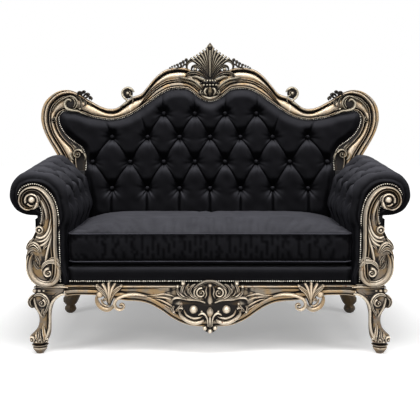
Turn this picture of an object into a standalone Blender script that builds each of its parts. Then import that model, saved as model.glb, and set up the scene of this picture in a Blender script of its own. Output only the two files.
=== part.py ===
"""A carved and gilded loveseat with a tufted back, scroll arms and one loose seat cushion.

Metres, +Z up, and whoever sits on it looks along -Y. Y = 0 runs through the front feet while the
pieces are drawn, and the seat_frame empty then stands the whole with its base on the origin.
Left and right pieces mirror each other across X = 0. Outlines are real sizes in metres.
"""

import math

import bmesh
import bpy
from mathutils import Vector

# Clearances
GAP = 0.0003
CUSHION_PLAY = 0.0015

# Seat frame
RAIL_TOP = 0.285
RAIL_THICK = 0.025
SIDE_RAIL_THICK = 0.035
SIDE_RAIL_DEEP = 0.075
SIDE_RAIL_PLAY = 0.006
SIDE_RAIL_EASE = 0.004
REAR_RAIL_DEEP = 0.080
REAR_RAIL_AT = 0.020
RAIL_EASE = 0.002
FRONT_Y = -0.035
RAIL_FIELD = 0.006
CARTOUCHE_FIELD = 0.180
LEAF_X = 0.390
LEAF_FIELD = 0.088
FIELD_BLEND = 0.020

# Half the width, to the middle of the arm's roll, and how far inboard of it the rest stands
ARM_X = 0.700
FRONT_LEG_IN = 0.0165
REAR_LEG_IN = 0.0165
SIDE_RAIL_IN = 0.010
STILE_IN = 0.060

# Legs
REAR_LEG_Y = 0.620
LEG_STRAIGHT = 0.080
LEG_SWEEP = 0.160

# Back, which leans by RAKE metres for each metre of height
BACK_Y = 0.575
BACK_REF_Z = 0.720
RAKE = 0.140
FRAME_BACK = 0.035
CARVING_DEEP = 0.027
CROSS_RAIL_LOW = 0.300
CROSS_RAIL_FRONT = 0.010
POST_WIDE = 0.080
POST_PLAY = 0.001
POST_FRONT = 0.036
BOARD_AT = 0.020
BOARD_THICK = 0.012
COVER_THICK = 0.014

# Arms
ARM_RISE = 0.045
ARM_FLARE = 0.012
ARM_ROUNDING = 0.030
ARM_FLARE_FROM = 0.005
ARM_FLARE_RUN = 0.080
ARM_ROUNDING_FROM = 0.020
ARM_ROUNDING_RUN = 0.060
ARM_BOARD_IN = 0.043
ARM_HEAD_SLOPE = 0.012
ARM_BOARD_PLAY = 0.001
ARM_NECK_IN = 0.010
ARM_COVER_BACK = 0.002
ARM_BOARD_THICK = 0.0227
ARM_HEAD_WIDE = 0.078
ARM_HEAD_TOP = 0.650
ARM_HEAD_THICK = 0.055
ARM_COVER_THICK = 0.008
ARM_NECK_Z = 0.545
ARM_FRAME_START = -0.020

# Seat
DECK_TOP = 0.3515
SPRING_RAIL_TOP = 0.320
SPRING_RAIL_LOW = 0.240
SPRING_WIRE = 0.0018
SPRINGS = 6
SPRING_ZIGZAGS = 7
SPRING_WIDE = 0.045
DUST_THICK = 0.0025
CUSHION_THICK = 0.135
CUSHION_CROWN = 0.030
CUSHION_PULL = 0.006
CUSHION_SWELL = 0.004
CUSHION_EDGE = 0.004
CUSHION_FRONT = -0.033
BORDER_THICK = 0.022
BORDER_BACK = 0.003
BORDER_EASE = 0.004
DECK_EASE = 0.006
SPRING_END = 0.008
SPRING_MARGIN = 0.060

# Padding. A run is the length over which something fades in or out
BACK_PAD_THICK = 0.035
BACK_PAD_EDGE = 0.0092
NAIL_SEAT = 0.0085
BACK_PAD_LOW = 0.360
TUFT_PITCH = 0.1425
TUFT_SPREAD = 0.00125
TUFT_REACH = 0.052
TUFT_RIDGE = 0.30
PAD_EDGE_ROLL = 0.060
ARM_TUFT_PITCH = 0.150
ARM_TUFT_DEEP = 0.020
ARM_TUFT_START = 0.020
ARM_FRONT_ROLL = 0.030
ARM_FRONT_DEEP = 0.012
ARM_FRONT_FROM = 0.020
ARM_TUFT_RUN = 0.080
ARM_PLEAT_FOOT = 0.100
ARM_END_RUN = 0.050
ARM_END_PLAY = 0.020
PLEAT_LONG = 0.115
PLEAT_SIDE = 0.110
PLEAT_FOOT = 0.020

# Small parts
BOLT_RADIUS = 0.004
BOLT_HEAD = 0.0075
BOLT_HEAD_THICK = 0.005
BOLT_GRIP = 0.045
BLOCK_LONG = 0.074
BLOCK_DEEP = 0.035
BLOCK_EASE = 0.003
BORE_OVERRUN = 0.010
NAIL_WIDE = 0.005
NAIL_DEEP = 0.0035
NAIL_EASE = 0.0012
NAIL_RAISE = 0.005
COVER_MARGIN = 0.012

# Scrolls: (x, z, radius, turns, metres proud). X is from STILE_X, from ARM_X or from the middle
CREST_SCROLL = (-0.251, 1.061, 0.033, 2.0, 0.020)
SHOULDER_SCROLL = (0.024, 1.016, 0.021, 1.5, 0.020)
STILE_SCROLL = (-0.013, 0.778, 0.022, 1.5, 0.020)
POST_SCROLL = (-0.060, 0.340, 0.040, 2.0, 0.030)
APRON_SCROLL = (0.350, 0.201, 0.019, 1.5, 0.020)
# Leaves: (x, z, first angle, last angle, inner radius, lobes, metres proud), x as above
SHOULDER_LEAVES = (0.010, 1.010, 78, 172, 0.008, 4, 0.016)
STILE_LEAVES = (-0.010, 0.784, 22, 76, 0.008, 3, 0.014)
APRON_LEAVES = (0.395, 0.180, 60, 122, 0.008, 5, 0.018)
PALMETTE = (0.0, 1.100, 30, 150, 0.024, 11, 0.024)
# Beads: (x, z, half width, half depth, half height)
PALMETTE_COLLAR = (0.000, 1.110, 0.030, 0.014, 0.024)
PALMETTE_DROP = (0.000, 1.070, 0.036, 0.012, 0.022)
APRON_BEAD = (0.061, 0.186, 0.018, 0.018, 0.018)
APRON_DROP = (0.000, 0.138, 0.013, 0.0095, 0.038)
APRON_END = (0.000, 0.099, 0.014, 0.0090, 0.014)
POST_ROSETTE = (-0.033, 0.504, 0.0135, 0.0135, 0.0135)
POST_EYE = (-0.007, 0.623, 0.0135, 0.0135, 0.0135)
# How far leaves run from their centre, and how much longer or shorter the others are
PALMETTE_REACH = 0.196
PALMETTE_STEP = 0.036
PALMETTE_FALL = 0.034
SHOULDER_REACH = 0.066
SHOULDER_SWELL = 0.022
STILE_REACH = 0.060
STILE_FALL = 0.012
APRON_REACH = 0.103
APRON_SWELL = 0.010
LEAF_EDGE = 0.004
# How deep an ornament's union is sunk in the piece it grows from
SINK = 0.0010

# Outlines. Stile: (outer x, outer z, inner x, inner z), x from STILE_X, foot first
STILE = (
    (0.032, 0.700, -0.052, 0.700),
    (0.066, 0.767, -0.054, 0.755),
    (0.091, 0.805, -0.037, 0.803),
    (0.116, 0.843, 0.005, 0.835),
    (0.136, 0.882, 0.041, 0.866),
    (0.148, 0.918, 0.066, 0.905),
    (0.152, 0.948, 0.075, 0.938),
    (0.148, 0.985, 0.069, 0.965),
    (0.134, 1.019, 0.054, 0.979),
    (0.105, 1.049, 0.040, 0.983),
    (0.072, 1.067, 0.024, 0.983),
    (0.036, 1.072, 0.005, 0.981),
    (0.010, 1.067, -0.015, 0.978),
    (-0.025, 1.051, -0.050, 0.968),
    (-0.059, 1.031, -0.084, 0.955),
    (-0.087, 1.018, -0.110, 0.949),
    (-0.117, 1.003, -0.135, 0.945),
    (-0.148, 0.992, -0.157, 0.942),
    (-0.180, 0.989, -0.180, 0.941),
    (-0.202, 0.994, -0.202, 0.944),
    (-0.220, 1.005, -0.223, 0.949),
    (-0.238, 1.020, -0.246, 0.957),
    (-0.258, 1.034, -0.269, 0.968),
)
# Crest: the same four values from its joint with the stile to the middle, x from X = 0
CREST = (
    (0.382, 1.034, 0.371, 0.968),
    (0.362, 1.046, 0.348, 0.982),
    (0.334, 1.055, 0.325, 0.997),
    (0.316, 1.067, 0.304, 1.012),
    (0.288, 1.101, 0.277, 1.031),
    (0.255, 1.139, 0.242, 1.056),
    (0.216, 1.169, 0.200, 1.079),
    (0.173, 1.182, 0.163, 1.087),
    (0.134, 1.183, 0.128, 1.087),
    (0.106, 1.178, 0.100, 1.082),
    (0.086, 1.168, 0.076, 1.067),
    (0.059, 1.152, 0.048, 1.044),
    (0.031, 1.124, 0.022, 1.031),
    (0.000, 1.100, 0.000, 1.026),
)
# Arm post: (outboard x, z, inboard x, z) from the lower scroll up and round the volute, x from ARM_X
ARM_POST = (
    (-0.035, 0.2865, -0.070, 0.289),
    (-0.008, 0.298, -0.088, 0.303),
    (0.009, 0.318, -0.099, 0.325),
    (0.020, 0.342, -0.102, 0.350),
    (0.024, 0.370, -0.103, 0.372),
    (0.022, 0.398, -0.100, 0.398),
    (0.016, 0.424, -0.098, 0.424),
    (0.012, 0.450, -0.098, 0.450),
    (-0.004, 0.471, -0.099, 0.474),
    (-0.018, 0.497, -0.099, 0.500),
    (-0.036, 0.520, -0.100, 0.525),
    (-0.046, 0.545, -0.100, 0.550),
    (-0.047, 0.570, -0.098, 0.575),
    (-0.045, 0.592, -0.092, 0.600),
    (-0.040, 0.610, -0.082, 0.624),
    (-0.036, 0.626, -0.068, 0.645),
    (-0.028, 0.638, -0.051, 0.661),
    (-0.016, 0.645, -0.030, 0.671),
    (-0.002, 0.646, -0.008, 0.673),
    (0.010, 0.640, 0.013, 0.668),
    (0.018, 0.629, 0.031, 0.655),
    (0.020, 0.616, 0.041, 0.637),
    (0.016, 0.605, 0.044, 0.617),
    (0.007, 0.598, 0.039, 0.600),
    (-0.002, 0.598, 0.026, 0.586),
    (-0.010, 0.602, 0.008, 0.580),
    (-0.013, 0.608, -0.010, 0.586),
    (-0.013, 0.613, -0.020, 0.600),
)
# Arm padding, front section: (x from ARM_X, z) up the inner face, over the roll and under it
ARM_SECTION = (
    (-0.138, 0.360),
    (-0.138, 0.450),
    (-0.1405, 0.495),
    (-0.153, 0.530),
    (-0.158, 0.560),
    (-0.152, 0.600),
    (-0.147, 0.635),
    (-0.136, 0.668),
    (-0.112, 0.698),
    (-0.078, 0.722),
    (-0.040, 0.733),
    (0.000, 0.735),
    (0.036, 0.726),
    (0.066, 0.706),
    (0.087, 0.675),
    (0.094, 0.638),
    (0.087, 0.602),
    (0.067, 0.573),
    (0.038, 0.556),
    (0.008, 0.551),
)
# Nail row round the arm post, (x from ARM_X, z)
ARM_NAILS = (
    (0.051, 0.625),
    (0.043, 0.656),
    (0.026, 0.673),
    (0.000, 0.682),
    (-0.020, 0.682),
    (-0.045, 0.673),
    (-0.069, 0.654),
    (-0.088, 0.629),
    (-0.099, 0.601),
    (-0.105, 0.569),
    (-0.108, 0.539),
    (-0.1075, 0.485),
    (-0.1075, 0.420),
    (-0.1085, 0.360),
    (-0.1085, 0.300),
)
# Front rail: (x, z of its lower edge) from the middle to the leg
APRON = (
    (0.000, 0.114),
    (0.030, 0.115),
    (0.072, 0.118),
    (0.108, 0.128),
    (0.147, 0.148),
    (0.189, 0.178),
    (0.222, 0.198),
    (0.255, 0.211),
    (0.290, 0.217),
    (0.328, 0.219),
    (0.370, 0.226),
    (0.410, 0.235),
    (0.447, 0.241),
    (0.492, 0.243),
    (0.534, 0.243),
    (0.575, 0.238),
)
# Front leg: (z, outer x, inner x, front y, rear y, squareness), x from FRONT_LEG_X, top last
LEG = (
    (0.0000, 0.012, -0.012, -0.024, 0.000, 2.0),
    (0.0060, 0.021, -0.021, -0.033, 0.009, 2.0),
    (0.0180, 0.029, -0.029, -0.041, 0.017, 2.0),
    (0.0300, 0.027, -0.027, -0.039, 0.015, 2.0),
    (0.0390, 0.019, -0.022, -0.033, 0.010, 2.0),
    (0.0470, 0.028, -0.030, -0.044, 0.012, 2.2),
    (0.0570, 0.036, -0.036, -0.055, 0.015, 2.4),
    (0.0730, 0.036, -0.043, -0.055, 0.018, 2.4),
    (0.0880, 0.021, -0.050, -0.046, 0.020, 2.4),
    (0.1080, 0.006, -0.055, -0.038, 0.020, 2.4),
    (0.1340, 0.000, -0.058, -0.034, 0.021, 2.4),
    (0.1590, 0.002, -0.060, -0.038, 0.024, 2.6),
    (0.1820, 0.013, -0.066, -0.046, 0.030, 2.8),
    (0.2000, 0.026, -0.071, -0.052, 0.036, 3.0),
    (0.2200, 0.031, -0.081, -0.056, 0.042, 3.4),
    (0.2380, 0.020, -0.098, -0.055, 0.047, 5.0),
    (0.2560, 0.008, -0.1085, -0.052, 0.050, 8.0),
    (0.2847, 0.007, -0.1085, -0.051, 0.050, 8.0),
)
# Stem of the crest's scroll from STILE_X, C scroll under the apron's leaves, and the cartouche's
# right half as (x, lower z, upper z)
CREST_STEM = (
    (-0.196, 0.990, -0.208, 0.974),
    (-0.224, 1.001, -0.236, 0.982),
    (-0.243, 1.016, -0.262, 1.002),
    (-0.251, 1.034, -0.275, 1.028),
    (-0.252, 1.054, -0.281, 1.056),
)
APRON_CURL = (
    (0.446, 0.216, 0.428, 0.214),
    (0.437, 0.186, 0.420, 0.198),
    (0.408, 0.169, 0.404, 0.190),
    (0.376, 0.172, 0.384, 0.192),
    (0.352, 0.184, 0.366, 0.200),
)
CARTOUCHE = (
    (0.000, 0.158, 0.300),
    (0.030, 0.162, 0.287),
    (0.060, 0.170, 0.277),
    (0.090, 0.184, 0.278),
    (0.125, 0.205, 0.273),
    (0.152, 0.228, 0.247),
)
# Tufting: (z, column numbers) of each row of the back, and (run up the section, shift in pitches)
# of the arms' rows
TUFT_ROWS = (
    (0.966, (0.5, 1.5)),
    (0.856, (0, 1, 2, 3)),
    (0.740, (0.5, 1.5, 2.5, 3.5)),
    (0.616, (0, 1, 2, 3)),
)
ARM_TUFT_ROWS = ((0.335, 0.0), (0.422, 0.5), (0.508, 0.0))

# Values that follow from the sizes and outlines
FRONT_LEG_X = ARM_X - FRONT_LEG_IN
REAR_LEG_X = ARM_X - REAR_LEG_IN
SIDE_RAIL_OUT = ARM_X - SIDE_RAIL_IN
STILE_X = ARM_X - STILE_IN
LEG_INNER = FRONT_LEG_X + LEG[-1][2]
LEG_BACK = LEG[-1][4]
STILE_FOOT_Z = STILE[0][1]
POST_INNER = STILE_X + STILE[0][2] + POST_PLAY
ARM_INNER = ARM_X + ARM_SECTION[0][0]
ARM_BOARD_X = ARM_X - ARM_BOARD_IN

# Sections of the carvings: (share of the way across, metres on from there, metres proud)
FRAME_SECTION = (
    (0, 0.000, 0.012),
    (0, 0.004, 0.026),
    (0, 0.013, 0.027),
    (0, 0.018, 0.014),
    (0.5, 0.000, 0.020),
    (1, -0.016, 0.014),
    (1, -0.012, 0.027),
    (1, -0.004, 0.027),
    (1, 0.000, 0.012),
)
APRON_SECTION = (
    (0, 0.000, 0.003),
    (0, 0.003, 0.015),
    (0, 0.014, 0.015),
    (0, 0.018, RAIL_FIELD),
    (1, -0.018, RAIL_FIELD),
    (1, -0.014, 0.014),
    (1, 0.000, 0.014),
)
POST_SECTION = (
    (0.00, 0, 0.010),
    (0.08, 0, 0.019),
    (0.22, 0, 0.020),
    (0.32, 0, 0.012),
    (0.55, 0, 0.017),
    (0.68, 0, 0.012),
    (0.78, 0, 0.022),
    (0.93, 0, 0.022),
    (1.00, 0, 0.010),
)
RIBBON_SECTION = ((0, 0, NAIL_DEEP), (1, 0, NAIL_DEEP))
CARTOUCHE_SECTION = (
    (0.00, 0, 0.010),
    (0.15, 0, 0.015),
    (0.45, 0, 0.009),
    (0.80, 0, 0.018),
    (1.00, 0, 0.006),
)
SCROLL_SECTION = ((0, 0, 0.006), (0.25, 0, 0.016), (0.75, 0, 0.016), (1, 0, 0.006))


def clear_scene():
    for old in list(bpy.data.objects):
        bpy.data.objects.remove(old)


def finish(name, colour, roughness, metallic):
    material = bpy.data.materials.new(name)
    material.use_nodes = True
    shader = material.node_tree.nodes["Principled BSDF"]
    shader.inputs["Base Color"].default_value = (*colour, 1.0)
    shader.inputs["Roughness"].default_value = roughness
    shader.inputs["Metallic"].default_value = metallic
    return material


def back_y(z, depth=0.0):
    """Y at height z of the leaning back plane, or of a plane depth metres behind it."""
    return BACK_Y + RAKE * (z - BACK_REF_Z) + depth


def lean(bm):
    """Turns each vertex's y from a depth behind the back plane into a real y."""
    for v in bm.verts:
        v.co.y = back_y(v.co.z, v.co.y)


def put(name, bm, material, place=(0, 0, 0), side=1):
    """Makes the object: the mesh is moved so that its origin lies at place, and mirrored for side -1."""
    for v in bm.verts:
        v.co.x = side * v.co.x
    origin = Vector((side * place[0], place[1], place[2]))
    bmesh.ops.translate(bm, verts=bm.verts[:], vec=-origin)
    bmesh.ops.recalc_face_normals(bm, faces=bm.faces[:])
    mesh = bpy.data.meshes.new(name)
    bm.to_mesh(mesh)
    bm.free()
    mesh.materials.append(material)
    mesh.shade_smooth()
    mesh.set_sharp_from_angle(angle=math.radians(35))
    made = bpy.data.objects.new(name, mesh)
    made.location = origin
    made.parent = bpy.data.objects["seat_frame"]
    bpy.context.scene.collection.objects.link(made)
    return made


def guide(made):
    """Marks a piece that only shapes another one."""
    made.hide_render = True
    made.display_type = "WIRE"
    return made


def combine(target, tool, operation):
    change = target.modifiers.new(tool.name, "BOOLEAN")
    change.operation = operation
    change.object = guide(tool)
    change.solver = "EXACT"


def smooth(points, count):
    """Count points evenly spaced along a smooth curve through the given ones, of any dimension."""
    dense = []
    last = len(points) - 1
    for i in range(last):
        near = (points[max(i - 1, 0)], points[i], points[i + 1], points[min(i + 2, last)])
        for k in range(12):
            t = k / 12
            dense.append(tuple(catmull(a, b, c, d, t) for a, b, c, d in zip(*near)))
    dense.append(tuple(points[-1]))
    run = [0.0]
    for a, b in zip(dense, dense[1:]):
        run.append(run[-1] + math.dist(a, b))
    spaced = []
    j = 0
    for k in range(count):
        want = run[-1] * k / (count - 1)
        while j < len(run) - 2 and run[j + 1] < want:
            j += 1
        part = (want - run[j]) / (run[j + 1] - run[j])
        spaced.append(tuple(a + (b - a) * part for a, b in zip(dense[j], dense[j + 1])))
    return spaced


def catmull(a, b, c, d, t):
    return 0.5 * (2 * b + (c - a) * t + (2 * a - 5 * b + 4 * c - d) * t**2 + (3 * b - a - 3 * c + d) * t**3)


def ease(t):
    t = min(max(t, 0.0), 1.0)
    return t * t * (3 - 2 * t)


def relief(columns, rows, face, back):
    """Closed carving: face(i, j) is its worked side and back(i, j) its flat one, on a grid."""
    bm = bmesh.new()
    bmesh.ops.create_grid(bm, x_segments=columns, y_segments=rows, size=0.5)
    bmesh.ops.solidify(bm, geom=bm.faces[:], thickness=1.0)
    hidden = []
    for v in bm.verts:
        i = round((v.co.x + 0.5) * columns)
        j = round((v.co.y + 0.5) * rows)
        behind = abs(v.co.z) > 0.5
        if behind and 0 < j < rows:
            hidden.append((v, i))
        v.co = Vector(back(i, j)) if behind else Vector(face(i, j))
    column_of = dict(hidden)
    lengthwise = [e for e in bm.edges if all(v in column_of for v in e.verts)]
    lengthwise = [e for e in lengthwise if column_of[e.verts[0]] != column_of[e.verts[1]]]
    bmesh.ops.dissolve_edges(bm, edges=lengthwise, use_verts=True)
    return bm


def strap(spots, section, deep=0.0, fade=None):
    """A moulding drawn along pairs of edge points, with its back deep metres behind y = 0."""
    steps = len(spots) - 1

    def place(i, j):
        share, on, proud = section[j]
        ax, az, bx, bz = spots[i]
        span = math.hypot(bx - ax, bz - az)
        t = share + on / span
        return ax + (bx - ax) * t, az + (bz - az) * t, proud

    def face(i, j):
        x, z, proud = place(i, j)
        if fade:
            proud = RAIL_FIELD + (proud - RAIL_FIELD) * fade(x)
        return x, -proud, z

    def back(i, j):
        x, z, _ = place(i, j)
        return x, deep, z

    return relief(steps, len(section) - 1, face, back)


def band(line, near, far):
    """Edge pairs of a band that lies from near to far metres left of a line."""
    return [(*a, *b) for a, b in zip(moved(line, near), moved(line, far))]


def fan(centre, start, end, inner, reach, lobes, proud, back=0.0, rows=5, split=4):
    """Leaves that spread from a centre between two angles; reach(share) is how far they run."""
    columns = lobes * split

    def spot(i, j):
        share = i / columns
        angle = math.radians(start + (end - start) * share)
        ridge = abs(math.sin(math.pi * lobes * share))
        tip = reach(share) * (0.90 + 0.10 * ridge)
        radius = inner + (tip - inner) * j / rows
        x = centre[0] + radius * math.cos(angle)
        z = centre[1] + radius * math.sin(angle)
        crown = math.sin(math.pi * (0.15 + 0.75 * j / rows))
        return x, z, proud * crown * (0.45 + 0.55 * ridge)

    def face(i, j):
        x, z, high = spot(i, j)
        return x, back - max(high, LEAF_EDGE), z

    def flat(i, j):
        x, z, _ = spot(i, j)
        return x, back, z

    return relief(columns, rows, face, flat)


def volute(centre, radius, turns, proud, back=0.0, sides=16, rings=8):
    """A round scroll whose raised ridge winds in to an eye, flat behind."""
    bm = bmesh.new()
    bmesh.ops.create_uvsphere(bm, u_segments=sides, v_segments=rings + 1, radius=1)
    for v in bm.verts:
        ring = round(math.acos(max(-1, min(1, v.co.z))) / math.pi * (rings + 1))
        share = ring / rings if ring <= rings else 0.0
        angle = math.atan2(v.co.y, v.co.x)
        ridge = 0.62 + 0.38 * math.cos(2 * math.pi * share * turns + angle)
        eye = ease(1 - share / 0.3)
        high = proud * max(ridge * (1 - eye), eye)
        if ring >= rings:
            high = 0.0
        x = centre[0] + radius * share * math.cos(angle)
        v.co = Vector((x, back - high, centre[1] + radius * share * math.sin(angle)))
    return bm


def ball(centre, half, segments=8):
    """A bead of half sizes half about centre."""
    bm = bmesh.new()
    bmesh.ops.create_uvsphere(bm, u_segments=segments, v_segments=segments // 2 + 1, radius=1)
    for v in bm.verts:
        v.co = Vector([c + h * p for c, h, p in zip(centre, half, v.co)])
    return bm


def block(low, high, rake_back=None):
    """A plain box; rake_back makes its rear face follow the leaning back at that depth."""
    bm = bmesh.new()
    bmesh.ops.create_cube(bm, size=1)
    for v in bm.verts:
        share = [p + 0.5 for p in v.co]
        v.co = Vector([a + (b - a) * t for a, b, t in zip(low, high, share)])
        if rake_back is not None and share[1] > 0.5:
            v.co.y = back_y(v.co.z, rake_back)
    return bm


def eased_block(low, high, radius, rake_back=None):
    bm = block(low, high, rake_back)
    bmesh.ops.bevel(bm, geom=bm.edges[:], offset=radius, segments=1, profile=0.5, affect="EDGES")
    return bm


def stack(rings):
    """A solid drawn up through rings, each a list of points that go round it the same way."""
    levels, sides = len(rings), len(rings[0])
    bm = bmesh.new()
    bmesh.ops.create_cone(bm, cap_ends=True, segments=sides, radius1=1, radius2=1, depth=levels - 1)
    for level in range(1, levels - 1):
        cut = bm.verts[:] + bm.edges[:] + bm.faces[:]
        bmesh.ops.bisect_plane(bm, geom=cut, plane_co=(0, 0, level - (levels - 1) / 2), plane_no=(0, 0, 1))
    for v in bm.verts:
        k = round(math.atan2(v.co.x, v.co.y) / (2 * math.pi) * sides) % sides
        v.co = Vector(rings[round(v.co.z + (levels - 1) / 2)][k])
    return bm


def oval(z, x0, x1, y0, y1, square, sides=12):
    """A ring at height z between x0 and x1 and between y0 and y1; more square with a higher value."""
    points = []
    for k in range(sides):
        angle = -math.pi + 2 * math.pi * k / sides
        c, s = math.cos(angle), math.sin(angle)
        x = math.copysign(abs(c) ** (2 / square), c)
        y = math.copysign(abs(s) ** (2 / square), s)
        points.append(((x0 + x1) / 2 + (x1 - x0) / 2 * x, (y0 + y1) / 2 + (y1 - y0) / 2 * y, z))
    return points


def prism(outline, y0, y1):
    """A plate with the (x, z) outline, between y0 and y1."""
    bm = bmesh.new()
    face = bm.faces.new([bm.verts.new((x, y0, z)) for x, z in outline])
    made = bmesh.ops.extrude_face_region(bm, geom=[face])
    for v in made["geom"]:
        if isinstance(v, bmesh.types.BMVert):
            v.co.y = y1
    return bm


def segment_distance(point, a, b):
    """How far a point lies from the stretch a to b, and the share of the way along it."""
    ax, az = point[0] - a[0], point[1] - a[1]
    bx, bz = b[0] - a[0], b[1] - a[1]
    share = min(1.0, max(0.0, (ax * bx + az * bz) / (bx * bx + bz * bz)))
    return math.hypot(ax - share * bx, az - share * bz), share


def tufted(point, creases, pleats):
    """Height share of tufted padding at a point: 0 in a button's pit, 1 on a pillow's crown."""
    high = 1.0
    for a, b in creases:
        far, share = segment_distance(point, a, b)
        floor = TUFT_RIDGE * math.sin(math.pi * share)
        high = min(high, floor + (1 - floor) * puff(far / TUFT_REACH))
    for a, b in pleats:
        far, share = segment_distance(point, a, b)
        floor = TUFT_RIDGE + (0.75 - TUFT_RIDGE) * share if share > 0 else 0.0
        high = min(high, floor + (1 - floor) * puff(far / TUFT_REACH))
    return high


def puff(t):
    t = min(max(t, 0.0), 1.0)
    return math.sqrt(1 - (1 - t) ** 2)


def stile_spots():
    """The stile's edges, foot first, as they are carved."""
    return smooth([(ax + STILE_X, az, bx + STILE_X, bz) for ax, az, bx, bz in STILE], 26)


def crest_spots():
    """The crest's edges, stretched to the span that the stiles leave, clear of stile and middle."""
    stretch = (STILE_X + STILE[-1][0]) / CREST[0][0]
    spots = smooth([(ax * stretch, az, bx * stretch, bz) for ax, az, bx, bz in CREST], 18)
    for end, clear in ((0, -GAP), (-1, GAP / 2)):
        ax, az, bx, bz = spots[end]
        spots[end] = (ax + clear, az, bx + clear, bz)
    return spots


def moved(line, offset):
    """The line moved offset metres to its left."""
    spots = []
    for i, (x, z) in enumerate(line):
        x0, z0 = line[max(i - 1, 0)]
        x1, z1 = line[min(i + 1, len(line) - 1)]
        run = math.hypot(x1 - x0, z1 - z0)
        spots.append((x - (z1 - z0) / run * offset, z + (x1 - x0) / run * offset))
    return spots


def frame_line(share):
    """A line round the frame from its right foot to its left one: 0 its outer edge, 1 its inner one."""
    spots = stile_spots() + crest_spots()[1:-1]
    half = [(ax + (bx - ax) * share, az + (bz - az) * share) for ax, az, bx, bz in spots]
    top = CREST[-1][1] + (CREST[-1][3] - CREST[-1][1]) * share
    return half + [(0.0, top)] + [(-x, z) for x, z in reversed(half)]


def pad_outline(inset):
    """Outline of what fills the back's opening, down to its straight lower edge."""
    line = moved(frame_line(1.0), inset)
    side = line[0][0]
    low = BACK_PAD_LOW + inset - GAP
    return [(side, low)] + line + [(-side, low)]


def column_x(p):
    """X of tuft column p: the columns spread a little towards the sides."""
    return TUFT_PITCH * p + TUFT_SPREAD * p**3


def row_z(row):
    """Height of tuft row number row, counted down from the top one, whole or not."""
    heights = [z for z, _ in TUFT_ROWS]
    k = min(max(math.floor(row), 0), len(heights) - 2)
    return heights[k] + (heights[k + 1] - heights[k]) * (row - k)


def back_tufts():
    """The creases between buttons, and the pleats that leave the outer buttons."""
    rows = []
    for z, columns in TUFT_ROWS:
        every = sorted({s * c for c in columns for s in (-1, 1)})
        rows.append([(column_x(p), z, p) for p in every])
    creases = []
    for upper, lower in zip(rows, rows[1:]):
        for x0, z0, p in upper:
            creases += [((x0, z0), (x1, z1)) for x1, z1, q in lower if abs(abs(p - q) - 0.5) < 0.01]
    pleats = [((x, z), (x * 1.04, z + PLEAT_LONG)) for x, z, _ in rows[0]]
    pleats += [((x, z), (x * 1.10, z + PLEAT_SIDE)) for x, z, p in rows[1] if abs(p) > 1.5]
    pleats += [((x, z), (x, BACK_PAD_LOW - PLEAT_FOOT)) for x, z, _ in rows[3]]
    return creases, pleats


def shifted(bm, y):
    bmesh.ops.translate(bm, verts=bm.verts[:], vec=(0, y, 0))
    return bm


def leaned(bm):
    lean(bm)
    return bm


def rear_rail_front():
    return back_y(RAIL_TOP, -REAR_RAIL_AT)


def curl(shape, x, back, sides=12, rings=6):
    """The scroll that a table line describes, its x counted from x."""
    return volute((x + shape[0], shape[1]), *shape[2:], back, sides, rings)


def leaves(shape, x, back, reach):
    """The leaves that a table line describes, their x counted from x."""
    spot_x, spot_z, start, end, inner, lobes, proud = shape
    return fan((x + spot_x, spot_z), start, end, inner, reach, lobes, proud, back, 4, 3)


def bead(shape, x, back):
    """The bead that a table line describes, half a millimetre in front of its seat."""
    spot_x, spot_z, wide, deep, high = shape
    return ball((x + spot_x, back - deep - SINK / 2, spot_z), (wide, deep, high))


def make_rails(gilt, beech):
    top = RAIL_TOP - GAP
    stretch = (LEG_INNER - GAP) / APRON[-1][0]
    half = [(x * stretch, z, x * stretch, top) for x, z in APRON]
    pairs = [(-ax, az, -bx, bz) for ax, az, bx, bz in reversed(half[1:])] + half

    def fade(x):
        """0 where an ornament covers the rail, whose mouldings stop there."""
        middle = (abs(x) - CARTOUCHE_FIELD) / FIELD_BLEND
        return min(ease(middle), ease((abs(abs(x) - LEAF_X) - LEAF_FIELD) / FIELD_BLEND))

    rail = strap(smooth(pairs, 43), APRON_SECTION, RAIL_THICK, fade)
    put("front_rail", shifted(rail, FRONT_Y), gilt, (0, FRONT_Y, top))
    front = rear_rail_front()
    low = (GAP - POST_INNER, front, RAIL_TOP - REAR_RAIL_DEEP)
    rail = eased_block(low, (POST_INNER - GAP, front + RAIL_THICK, top), RAIL_EASE)
    put("rear_rail", rail, beech, (0, front, top))
    for side, mark in ((-1, "l"), (1, "r")):
        low = (SIDE_RAIL_OUT - SIDE_RAIL_THICK, LEG_BACK + GAP, RAIL_TOP - SIDE_RAIL_DEEP)
        high = (SIDE_RAIL_OUT, back_y(RAIL_TOP, -POST_FRONT) - SIDE_RAIL_PLAY, top)
        rail = eased_block(low, high, SIDE_RAIL_EASE)
        put(f"side_rail_{mark}", rail, gilt, (SIDE_RAIL_OUT, low[1], top), side)


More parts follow.
